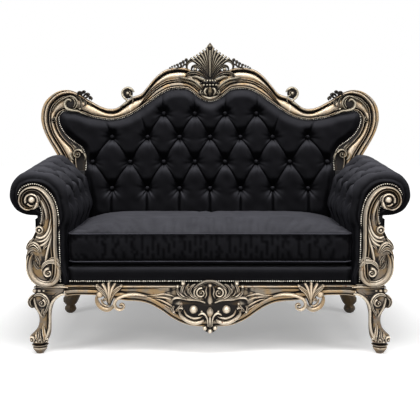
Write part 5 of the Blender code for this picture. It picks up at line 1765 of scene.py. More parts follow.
@dataclass(frozen=True)
class Legs:
    """Front cabriole legs with carving on the knee and foot; the plain rear legs under the posts stay as the
    CAD has them.
    """

    columns: int = 150
    around: int = 64
    squared: float = 0.004
    relief: float = 0.0022
    rings: tuple = (
        (0.0345, 1.3),
        (0.0290, -1.3),
        (0.0225, 0.5),
        (0.0100, -1.0),
        (0.0045, -1.0),
        (0.0400, -0.8),
    )

    def face(self, z: Array) -> Array:
        """Y of the leg's front at height z in metres.

        Args:
            z: Heights.

        Returns:
            The values of Y.
        """
        table = smooth([(row[0], row[3]) for row in LEG], 120)
        return np.interp(z, table[:, 0], table[:, 1])

    def turned(self, line: Array, relief: float) -> Shape:
        """A leg drawn through sections.

        Args:
            line: Rows of (z, high x, low x, front y, rear y, squareness) in metres, the last scaled down.
            relief: Height of the rings on its foot.

        Returns:
            A closed mesh.
        """

        def place(u: Array, v: Array) -> Array:
            """Points of the leg, section by section."""
            k = np.rint(u * self.columns).astype(int)
            z, x1, x0, y0, y1, power = (line[k, n] for n in range(6))
            power = power / self.squared
            angle = 2 * math.pi * v
            c, s = np.cos(angle), np.sin(angle)
            c = np.sign(c) * np.abs(c) ** (2 / power)
            s = np.sign(s) * np.abs(s) ** (2 / power)
            swell = 1 + relief / 0.027 * sum(q * np.exp(-(((z - h) / 0.0022) ** 2)) for h, q in self.rings)
            x = (x1 + x0) / 2 + (x1 - x0) / 2 * c * swell
            y = (y1 + y0) / 2 + (y1 - y0) / 2 * s * swell
            return np.column_stack([x, y, z])

        return shaped(self.columns, self.around, place, closed=True, caps=True)

    def build(self, shop: Workshop) -> None:
        """Makes both front legs.

        Args:
            shop: Where its pieces go.
        """
        rows = [(z, LEG_X + x1, LEG_X + x0, y0, y1, p * self.squared) for z, x1, x0, y0, y1, p in LEG]
        front = smooth(rows, self.columns + 1)
        for side in Side:
            body = self.turned(front, self.relief)
            leg = joined([body, carved(self.knee(), lambda z: self.face(z) + 0.004)])
            name = f"front_leg_carving_{side.mark}"
            shop.gild(name, leg, shop.finishes.deep, f"front_leg_{side.mark}", side)

    def knee(self) -> Parts:
        """Carving on a front leg: collar, knee scroll, leaf, bead line, ankle and foot.

        Returns:
            Its strips and beads.
        """
        return [
            Strand(((560, 274, 2), (590, 277, 4), (640, 277, 4), (694, 276, 3)), 8),
            Bead(690, 262, 10, 9, 14, 0.15),
            Bead(672, 262, 9, 8, 12, 0.15),
            Bead(655, 262, 7, 7, 9, 0.3),
            Strand(((566, 249, 3), (588, 245, 5), (606, 234, 5.5), (622, 215, 5.5), (631, 194, 5.5),
                (636, 165, 5), (638, 130, 5), (642, 96, 5), (652, 68, 4)), 11),
            Strand(((600, 256, 2), (618, 244, 3), (636, 226, 3)), 5, tone=0.9),
            Strand(((692, 246, 3), (702, 238, 6), (711, 224, 7.5), (710, 207, 7.5), (701, 196, 5.5),
                (694, 204, 4), (699, 214, 2)), 12, Cut.FLUTED, tone=0.2),
            Strand(((694, 240, 3), (678, 248, 6), (658, 245, 7), (642, 230, 7), (637, 208, 6),
                (644, 188, 5), (656, 168, 4.5), (662, 150, 3)), 12, Cut.FLUTED),
            Strand(((692, 232, 3), (689, 212, 4), (684, 192, 4.5), (676, 172, 4.5), (666, 152, 3)), 11),
            # A flat dark disc behind the knee scroll: painted shade in its hollow.
            Bead(664, 210, 19, 21, 3, 0.85),
            Strand(spiral(663, 212, 17, 110, 1.6, 4.5), 13),
            Bead(663, 212, 4.5, 4.5, 12),
            Strand(((661, 190, 3), (664, 172, 5), (665, 152, 3)), 8, Cut.KEELED),
            Strand(((660, 128, 2), (663, 112, 5), (660, 92, 7), (656, 74, 5), (660, 62, 3)),
                11, Cut.KEELED, tone=-0.15),
            Strand(((676, 104, 2), (678, 88, 5), (673, 70, 6), (668, 56, 3)), 10, Cut.KEELED),
            Strand(((690, 92, 2), (690, 78, 5), (684, 66, 5), (676, 56, 3)), 9, Cut.KEELED),
            Strand(spiral(706, 64, 13, 60, 1.3, 4.6), 11),
            Bead(706, 64, 4.5, 4.5, 11),
            Strand(spiral(671, 58, 9, 100, -1.3, 3.6), 13),
            Strand(spiral(647, 60, 10, 120, -1.3, 3.8), 11),
            Bead(647, 60, 3.5, 3.5, 11),
            Bead(688, 56, 5, 5, 10),
        ]


@dataclass(frozen=True)
class ArmPosts:
    """The carved scrolls in front of the arms."""

    steps: int = 230
    over: float = -0.012
    # Coves are painted darker, as wax and painted shade in the grooves; negative tones paint rolls and the
    # field lighter, as rubbed leaf and painted highlight.
    members: tuple[Member, ...] = (
        Member(Form.ROLL, 0.005, 0.008, 0.018, 6),
        Member(Form.COVE, 0.002, 0.009, 0.008, 3, tone=0.5),
        Member(Form.FIELD, 0.0, 0.011, 0.017, 9, tone=-0.05),
        Member(Form.COVE, 0.003, 0.009, 0.006, 4, tone=0.6),
        Member(Form.ROLL, 0.007, 0.011, 0.023, 7, tone=-0.1),
        Member(Form.COVE, 0.0035, 0.009, 0.004, 4, tone=0.8),
        Member(Form.ROLL, 0.012, 0.012, 0.028, 10, tone=-0.2),
    )

    def build(self, shop: Workshop) -> None:
        """Makes both posts.

        Args:
            shop: Where its pieces go.
        """
        pairs = smooth([(ax + ARM_X, az, bx + ARM_X, bz) for ax, az, bx, bz in ARM_POST], self.steps + 1)
        for side in Side:
            body = Moulding(self.members, -GAP).carved(pairs, upright)
            post = joined([body, carved(self.carving(), over_front(self.over))])
            name = f"arm_post_carving_{side.mark}"
            shop.gild(name, post, shop.finishes.deep, f"arm_post_{side.mark}", side)

    def carving(self) -> Parts:
        """The volute's end, eye and tip, the rosette, the acanthus strokes and the big C scroll.

        Returns:
            Its strips and beads.
        """
        return [
            # A flat dark disc behind the volute's end: painted shade in its hollow.
            Bead(693, 622, 21, 21, 7, 0.9),
            Bead(692, 622, 14, 14, 19, -0.15),
            Strand(spiral(692, 619, 26, -20, 0.95, 5, 0.8), 14, tone=0.1),
            Strand(((668, 612, 3), (663, 625, 5), (670, 635, 5), (680, 636, 2)), 16, Cut.KEELED),
            Strand(((690, 586, 3), (680, 592, 5.5), (673, 603, 6.5), (672, 613, 4)), 17, tone=-0.1),
            Strand(((666, 628, 2), (654, 612, 4.5), (644, 590, 5), (638, 566, 4.5), (636, 540, 3)), 8),
            Strand(((653, 575, 1), (652, 555, 5), (651, 535, 7), (645, 515, 5)), 5, tone=0.35),
            # A flat dark disc behind the rosette: painted shade in its hollow.
            Bead(665, 503, 16, 16, 6, 0.8),
            Bead(665, 503, 7, 7, 17, -0.1),
            Strand(spiral(665, 503, 13.5, 0, 1.1, 4, 0.8), 15),
            Strand(((679, 478, 3), (660, 473, 6), (640, 484, 6.5), (627, 508, 5.5), (620, 540, 4),
                (617, 562, 2)), 16, tone=-0.05),
            Strand(((676, 459, 3), (656, 460, 5.5), (636, 472, 6), (622, 496, 5.5), (615, 524, 3)), 15),
            Strand(((672, 440, 3), (655, 445, 5.5), (638, 458, 6), (624, 480, 5), (616, 505, 3)), 14),
            Strand(((690, 470, 2), (702, 460, 5), (713, 444, 5), (717, 426, 3)), 14, Cut.KEELED),
            Strand(((712, 424, 3), (706, 442, 7), (688, 450, 8.5), (671, 438, 8), (661, 415, 4)),
                19, Cut.FLUTED, tip=3, tone=-0.15),
            Strand(((716, 408, 3), (706, 424, 6), (690, 430, 7), (677, 422, 5), (670, 410, 2)),
                15, Cut.KEELED, tip=3),
            Strand(((652, 425, 2), (645, 438, 5), (634, 448, 5), (622, 462, 3)), 13, Cut.KEELED),
            Strand(((646, 368, 3), (641, 396, 5), (633, 428, 5.5), (623, 460, 5), (617, 490, 3)), 15),
            Strand(((660, 410, 5), (668, 392, 12), (677, 368, 19), (679, 344, 23), (670, 322, 21),
                (655, 306, 13), (640, 300, 4)), 9, tone=-0.05),
            Strand(((711, 402, 3), (717, 378, 5.5), (717, 352, 6), (711, 325, 6), (697, 302, 6),
                (677, 287, 5.5), (655, 281, 4)), 15),
            Strand(((694, 408, 3), (704, 386, 6), (706, 360, 8.5), (702, 334, 9.5), (688, 309, 10),
                (665, 293, 10), (640, 288, 10), (617, 294, 9.5), (601, 312, 9), (595, 335, 8.5),
                (598, 356, 6), (607, 371, 3)), 20, tone=-0.15),
            Strand(((686, 330, 2), (678, 312, 4), (660, 301, 4.5), (638, 298, 4.5), (618, 307, 4.5),
                (608, 324, 4), (608, 342, 2)), 13, tone=0.15),
            # A flat dark disc behind the C scroll's spiral: painted shade in its hollow.
            Bead(634, 333, 19, 19, 10, 0.85),
            Strand(spiral(634, 333, 19, 100, -1.7, 6.5), 20, tone=-0.1),
            Bead(634, 333, 5, 5, 17),
            Strand(((660, 350, 3), (650, 367, 7), (632, 378, 8), (612, 378, 8), (599, 370, 6),
                (590, 356, 3)), 20, Cut.KEELED, tip=3, tone=-0.3),
            Strand(((632, 386, 2), (617, 392, 5.5), (603, 388, 5.5), (594, 376, 3)),
                18, Cut.KEELED, tip=3, tone=-0.2),
            Strand(((684, 402, 2), (675, 388, 6), (670, 373, 6), (675, 361, 2)), 17, Cut.KEELED),
            Strand(((690, 380, 2), (683, 364, 6), (675, 353, 6), (665, 354, 2)), 17, Cut.KEELED),
        ]


@dataclass(frozen=True)
class Nails:
    """Rows of small domed nails that hold the velvet along the wood."""

    pitch: float = 0.0085
    radius: float = 0.0032
    dome: float = 0.0028
    inside: float = 0.0030
    seat: float = 0.0100
    front_z: float = 0.2960

    def spots(self, line: Array) -> Array:
        """Evenly pitched points along a flat line, half a pitch from its ends.

        Args:
            line: Points (x, z), one in each row.

        Returns:
            The nails' places.
        """
        run = float(np.linalg.norm(np.diff(line[:, :2], axis=0), axis=1).sum())
        count = max(2, int(run / self.pitch))
        return smooth(line[:, :2], 2 * count + 1)[1::2]

    def row(self, spots: Array, ground: Ground) -> Shape:
        """One mesh of domed heads, each at a spot (x, z) on the ground.

        Args:
            spots: The nails' places.
            ground: Y of what they are driven in, by height.

        Returns:
            One mesh.
        """
        heads = []
        for (x, z), y in zip(spots, ground(spots[:, 1])):
            bm = bmesh.new()
            bmesh.ops.create_uvsphere(bm, u_segments=8, v_segments=6, radius=1)
            bmesh.ops.delete(bm, geom=[v for v in bm.verts if v.co.z < -0.01], context="VERTS")
            bmesh.ops.holes_fill(bm, edges=open_edges(bm), sides=0)
            for v in bm.verts:
                a, b, c = v.co
                v.co = (x + a * self.radius, y - c * self.dome, z + b * self.radius)
            heads.append(outward(bm))
        return joined(heads)

    def drive(
        self, shop: Workshop, name: str, spots: Array, ground: Ground, node: str, side: Side = Side.RIGHT
    ) -> None:
        """Puts the heads of a row that stands for a CAD node."""
        row = self.row(spots, ground)
        shop.put(name, row, shop.finishes.nickel, Slot.NAILS, [node], side, crease=NAIL_CREASE)

    def build(self, shop: Workshop, frame: BackFrame) -> None:
        """Makes every row.

        Args:
            shop: Where its pieces go.
            frame: The frame that they follow.
        """
        half = self.spots(moved(frame.outline()[:, 2:], self.inside))
        both = np.vstack([half, half[::-1] * (-1, 1)])
        self.drive(shop, "back_nails", both, over_back(-self.seat), "back_nail_trim")
        outer = self.spots(smooth([(x + ARM_X, z) for x, z in ARM_NAILS], 120))
        inner = self.spots(smooth([(x + ARM_X, z) for x, z in ARM_INNER_NAILS], 30))
        for side in Side:
            spots = np.vstack([outer, inner])
            name = f"arm_nails_{side.mark}"
            self.drive(shop, name, spots, over_front(-GAP), f"arm_nail_trim_{side.mark}", side)
        reach = ARM_X + ARM_SECTION[0][0] - 0.004
        straight = self.spots(np.array([(-reach, self.front_z), (reach, self.front_z)]))
        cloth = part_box("front_border")[0]
        bulge = Panels.crown * (1 - puff((self.front_z - cloth.z) / Panels.rim))
        face = cloth.y - FEET_Y - FRONT_Y + bulge + GAP
        self.drive(shop, "front_nails", straight, over_front(face), "front_nail_trim")


@dataclass(frozen=True)
class Tufts:
    """Deep buttoning: creases between the buttons, pleats that leave the outer ones, puffed diamonds."""

    reach: float = 0.062
    ridge: float = 0.46
    pleat_reach: float = 0.036
    hard: float = 16.0
    groove: float = 0.010
    well: float = 0.027
    soft: float = 0.0010
    wrinkle: float = 0.0021

    def domed(self, far: Array, reach: float) -> Array:
        """The rise from a crease: a narrow fold, then a round crown."""
        return 0.72 * np.sin(math.pi / 2 * np.clip(far / reach, 0, 1)) + 0.28 * puff(far / self.groove)

    def height(self, points: Array, creases: Sequence, pleats: Sequence, buttons: Sequence) -> Array:
        """Share of the full height: 0 in a button's pit, 1 on a diamond's crown.

        Args:
            points: Flat points, one in each row.
            creases: Pairs of points between buttons.
            pleats: Pairs of points that lead away from a button.
            buttons: The buttons' places.

        Returns:
            A share for each point.
        """
        total = np.full(len(points), math.exp(-self.hard))
        for a, b in creases:
            far, share = segment_distance(points, a, b)
            floor = self.ridge * np.sin(math.pi * share)
            high = floor + (1 - floor) * self.domed(np.hypot(far, self.soft), self.reach)
            total += np.exp(-self.hard * high)
        for a, b in pleats:
            far, share = segment_distance(points, a, b)
            floor = np.where(share > 0, 0.5 * self.ridge + (0.80 - 0.5 * self.ridge) * share, 0.0)
            high = floor + (1 - floor) * self.domed(np.hypot(far, self.soft), self.pleat_reach)
            total += np.exp(-self.hard * high)
        lift = np.maximum(-np.log(total) / self.hard, -0.1) + 0.04
        for spot in buttons:
            far = np.hypot(*(points - spot).T)
            lift *= 1 - 0.88 * np.exp(-((far / self.well) ** 2))
        return lift

    def wrinkles(self, points: Array, buttons: Sequence) -> Array:
        """Small folds that run out from each button, in metres.

        Args:
            points: Flat points, one in each row.
            buttons: The buttons' places.

        Returns:
            The heights.
        """
        total = np.zeros(len(points))
        for k, (x, z) in enumerate(buttons):
            away = points - (x, z)
            far = np.hypot(away[:, 0], away[:, 1])
            angle = np.arctan2(away[:, 1], away[:, 0])
            fold = np.cos(9 * angle + 1.7 * k) + 0.6 * np.cos(14 * angle + 2.9 * k)
            size = self.wrinkle * (1 - 0.60 * np.sin(angle))
            total += size * fold * ease((far - 0.009) / 0.012) * np.exp(-((far / 0.037) ** 2))
        return total

    def net(self, a: tuple[float, float], b: tuple[float, float], fine: int, offset: float) -> Shape:
        """A flat net over lattice coordinates a and b, denser towards the creases.

        Args:
            a: Its range in a.
            b: Its range in b.
            fine: Faces in each unit.
            offset: Where in each unit the creases lie.

        Returns:
            A mesh whose x and y are a and b.
        """
        bm = bmesh.new()
        wide, high = a[1] - a[0], b[1] - b[0]
        bmesh.ops.create_grid(bm, x_segments=round(wide * fine), y_segments=round(high * fine), size=0.5)
        for v in bm.verts:
            spots = (a[0] + (v.co.x + 0.5) * wide - offset, b[0] + (v.co.y + 0.5) * high - offset)
            v.co = (*[t - 0.55 * math.sin(2 * math.pi * t) / (2 * math.pi) + offset for t in spots], 0)
        bmesh.ops.triangulate(bm, faces=bm.faces[:], quad_method="ALTERNATE")
        return bm

    def button(self, place: Vector, out: Vector, radius: float = 0.0105) -> Shape:
        """A covered button that faces out.

        Args:
            place: Its middle.
            out: The way it faces.
            radius: Its radius in metres.

        Returns:
            A closed mesh.
        """
        bm = bmesh.new()
        bmesh.ops.create_uvsphere(bm, u_segments=20, v_segments=12, radius=radius)
        bmesh.ops.scale(bm, vec=(1, 1, 0.62), verts=bm.verts[:])
        turn = out.to_track_quat("Z", "Y").to_matrix().to_4x4()
        bmesh.ops.transform(bm, matrix=Matrix.Translation(place) @ turn, verts=bm.verts[:])
        return bm


@dataclass(frozen=True)
class BackPad:
    """The deep buttoned pad that fills the frame."""

    thick: float = 0.044
    edge: float = 0.0092
    pit: float = 0.0050
    behind: float = 0.0197
    low: float = 0.3605
    roll: float = 0.046
    pitch: float = 0.1425
    spread: float = 0.00125
    bow: float = 0.0075
    head: float = 0.0110
    sunk: float = -0.0045
    rows: tuple = (
        (0.966, (0.5, 1.5)),
        (0.856, (0, 1, 2, 3)),
        (0.740, (0.5, 1.5, 2.5, 3.5)),
        (0.616, (0, 1, 2, 3)),
    )
    tufts: Tufts = Tufts()

    def column(self, p: Values) -> Values:
        """X of column p."""
        return self.pitch * p + self.spread * p**3

    def row(self, r: Array) -> Array:
        """Height of row r, whole or not.

        Args:
            r: Rows, counted from the top.

        Returns:
            The heights.
        """
        heights = np.array([z for z, _ in self.rows])
        k = np.clip(np.floor(r), 0, len(heights) - 2).astype(int)
        return heights[k] + (heights[k + 1] - heights[k]) * (r - k)

    def lines(self) -> tuple[list, list, list]:
        """Creases and pleats as pairs of points, and the buttons.

        Returns:
            The creases, the pleats and the buttons.
        """
        rows = []
        for z, own in self.rows:
            columns = sorted({sign * c for c in own for sign in (-1, 1)})
            rows.append([(self.column(p), z, p) for p in columns])
        creases = []
        for upper, lower in zip(rows, rows[1:]):
            for x0, z0, p in upper:
                creases += [((x0, z0), (x1, z1)) for x1, z1, q in lower if abs(abs(p - q) - 0.5) < 0.01]
        pleats = [((x, z), (x * 1.04, z + 0.115)) for x, z, _ in rows[0]]
        pleats += [((x, z), (x * 1.10, z + 0.110)) for x, z, p in rows[1] if abs(p) > 1.5]
        pleats += [((x, z), (x, self.low - 0.020)) for x, z, _ in rows[3]]
        return creases, pleats, [(x, z) for row in rows for x, z, _ in row]

    def spots(self, bm: Shape) -> tuple[Array, Array]:
        """Where the net's points come, before and after its creases are bowed upwards.

        Args:
            bm: The net.

        Returns:
            Both sets of points, as (x, z).
        """
        flat = points_of(bm)[:, :2]
        p, r = flat.sum(axis=1) / 2, flat[:, 0] - flat[:, 1]
        straight = np.column_stack([self.column(p), self.row(r)])
        bow = self.bow * np.sin(math.pi * np.clip(r, 0, len(self.rows) - 1)) ** 2
        return straight, straight + np.column_stack([np.zeros(len(bow)), bow])

    def outline(self, frame: BackFrame) -> Array:
        """The closed outline of the opening, as (x, z).

        Args:
            frame: The frame that it fills.

        Returns:
            The outline's corners.
        """
        half = moved(frame.outline()[:, 2:], GAP)
        foot = np.array([(half[0, 0], self.low)])
        return np.vstack([foot, half, half[::-1] * (-1, 1), foot * (-1, 1)])

    def build(self, shop: Workshop, frame: BackFrame) -> None:
        """Makes the pad and its buttons.

        Args:
            shop: Where its pieces go.
            frame: The frame that it fills.
        """
        edge = self.outline(frame)
        creases, pleats, buttons = self.lines()
        bm = self.tufts.net((-7, 8), (-8, 7), 32, 0.5)
        trimmed(bm, inside(self.spots(bm)[1], edge))
        straight, spots = self.spots(bm)
        spots, far = hemmed(bm, spots, edge)
        share = self.tufts.height(straight, creases, pleats, buttons)
        free = ease(far / self.roll) ** 0.8
        depth = -self.edge * (1 - free) - free * (self.thick * share - self.pit * (1 - share))
        depth -= self.tufts.wrinkles(spots, buttons) * ease(far / self.roll)
        depth -= 0.0012 * wave(spots, 0.11) * share
        placed(bm, np.column_stack([spots[:, 0], back_y(spots[:, 1], depth), spots[:, 1]]))
        pad = shop.cover("back_padding", backed(bm, self.behind), ["back_pad"])
        out = Vector((0, -1, 0.25))
        heads = [self.tufts.button(Vector((x, back_y(z, self.sunk), z)), out, self.head) for x, z in buttons]
        shop.cover("back_buttons", joined(heads))


@dataclass(frozen=True)
class ArmPads:
    """The buttoned arm rolls, with a smooth roll at the front."""

    rise: float = 0.045
    flare: float = 0.012
    rounding: float = 0.030
    neck: float = 0.545
    deep: float = 0.030
    front_deep: float = 0.031
    front_roll: float = 0.044
    pitch: float = 0.150
    start: float = 0.020
    rows: tuple = ((0.335, 0.0), (0.422, 0.5), (0.508, 0.0))
    lining: float = 0.003
    head: float = 0.0100
    proud: float = 0.003
    last_y: float = 0.49
    rear_y: float = 0.56
    tufts: Tufts = Tufts(0.050, 0.20, 0.036, well=0.023)

    def rear(self, z: Values) -> Values:
        """Y where the arm ends against the back's wood."""
        return back_y(z, ARM_REAR)

    def carried(self, x: Array, y: Array, z: Array, share: Array) -> Array:
        """Points of the section, carried back: the roll rises, flares and gets rounder.

        Args:
            x: X from the arm's middle.
            y: Y of each point.
            z: Z of each point.
            share: Way to the back.

        Returns:
            The points.
        """
        loose = ease((z - self.neck + 0.005) / 0.080)
        rise = self.rise - self.rounding * ease((-x - 0.020) / 0.060)
        return np.column_stack([ARM_X + x + self.flare * share * loose, y, z + rise * share * loose])

    def build(self, shop: Workshop) -> None:
        """Makes both arms and their buttons.

        Args:
            shop: Where its pieces go.
        """
        line = smooth(ARM_SECTION, 400)
        run = np.concatenate([[0.0], np.cumsum(np.linalg.norm(np.diff(line[:, :2], axis=0), axis=1))])
        normal = -normals_of(line)
        length = run[-1]
        places = [[(s, self.start + self.pitch * (k + shift)) for k in range(5)] for s, shift in self.rows]
        creases = []
        for low, high in zip(places, places[1:]):
            for a in low:
                creases += [(a, b) for b in high if abs(a[1] - b[1]) < 0.6 * self.pitch]
        pleats = [(a, (0.100, a[1])) for a in places[0]] + [(a, (length + 0.10, a[1])) for a in places[-1]]
        buttons = [spot for row in places for spot in row if spot[1] < self.last_y]
        for side in Side:
            bm = self.surface(line, run, normal, creases, pleats, buttons)
            pad = shop.cover(f"arm_padding_{side.mark}", bm, [f"arm_pad_{side.mark}"], side)
            heads = []
            for s, y in buttons:
                x, z, nx, nz = (np.interp(s, run, c) for c in (*line[:, :2].T, *normal.T))
                share = (y - FRONT_Y) / (self.rear(z) - FRONT_Y)
                dip = self.deep - self.proud
                spot = self.carried(*(np.array([q]) for q in (x + nx * dip, y, z + nz * dip, share)))[0]
                heads.append(self.tufts.button(Vector(spot), Vector((-nx, 0, -nz)), self.head))
            shop.cover(f"arm_buttons_{side.mark}", joined(heads), side=side)

    def surface(
        self, line: Array, run: Array, normal: Array, creases: list, pleats: list, buttons: list
    ) -> Shape:
        """The pad of the right arm: its tufted face, its front down to the wood, and a thin lining.

        Args:
            line: The front section and the places under the post.
            run: The way along it.
            normal: Its inward normals.
            creases: Pairs of points between buttons.
            pleats: Pairs of points that lead away from a button.
            buttons: The buttons' places.

        Returns:
            A closed mesh.
        """
        length, front, face = run[-1], FRONT_Y, 10
        bm = self.tufts.net((-6, 6), (-7, 5), 28, 0.0)
        flat = points_of(bm)[:, :2]
        step = (self.rows[-1][0] - self.rows[0][0]) / 2
        s = self.rows[0][0] + step * (flat[:, 0] - flat[:, 1])
        y = self.start + self.pitch * flat.sum(axis=1) / 2
        placed(bm, np.column_stack([s, y, np.zeros(len(s))]))
        for spot, way in (
            ((0, 0, 0), (-1, 0, 0)),
            ((length, 0, 0), (1, 0, 0)),
            ((0, front, 0), (0, -1, 0)),
            ((0, self.rear_y, 0), (0, 1, 0)),
        ):
            geom = bm.verts[:] + bm.edges[:] + bm.faces[:]
            bmesh.ops.bisect_plane(bm, geom=geom, plane_co=spot, plane_no=way, clear_outer=True, dist=1e-5)
        edge = [e for e in open_edges(bm) if all(abs(v.co.y - front) < 1e-5 for v in e.verts)]
        for k in range(face):
            made = bmesh.ops.extrude_edge_only(bm, edges=edge)["geom"]
            edge = [e for e in made if isinstance(e, bmesh.types.BMEdge)]
            for v in made:
                if isinstance(v, bmesh.types.BMVert):
                    v.co.y = front - (k + 1) / face
        s, own = points_of(bm)[:, :2].T
        x, z, cx, cz = (np.interp(s, run, line[:, k]) for k in range(4))
        nx, nz = (np.interp(s, run, normal[:, k]) for k in range(2))
        share = np.clip((own - front) / (self.rear_y - front), 0, 1)
        y = front + share * (self.rear(z) - front)
        spots = np.column_stack([s, own])
        low = 1 - self.tufts.height(spots, creases, pleats, buttons)
        dip = (self.deep * low + self.tufts.wrinkles(spots, buttons)) * ease((s - 0.080) / 0.080)
        rolled = 1 - puff((y - front) / self.front_roll)
        dip = dip * ease((y - front) / 0.05) + self.front_deep * rolled * ease((s - 0.020) / 0.080)
        dip *= ease((length + 0.020 - s) / 0.050)
        dip += 0.0012 * wave(spots, 0.13) * ease((s - 0.05) / 0.05)
        x, z = x + nx * dip, z + nz * dip
        inward = np.clip(front - own, 0, 1)
        x, z = x + (cx - x) * inward, z + (cz - z) * inward
        lip = 0.0060 * np.exp(-(((inward - 0.22) / 0.20) ** 2)) * inward / 0.22
        y = np.where(own < front, front + 0.0004 - lip, y)
        outward(placed(bm, self.carried(x, y, z, share)))
        middle = Vector((ARM_X, 0.2, 0.62))
        roll = [(f, f.calc_center_median()) for f in bm.faces]
        if sum(f.normal.dot(spot - middle) * f.calc_area() for f, spot in roll if spot.z > 0.6) < 0:
            bmesh.ops.reverse_faces(bm, faces=bm.faces[:])
        bmesh.ops.solidify(bm, geom=bm.faces[:], thickness=self.lining)
        return outward(bm)


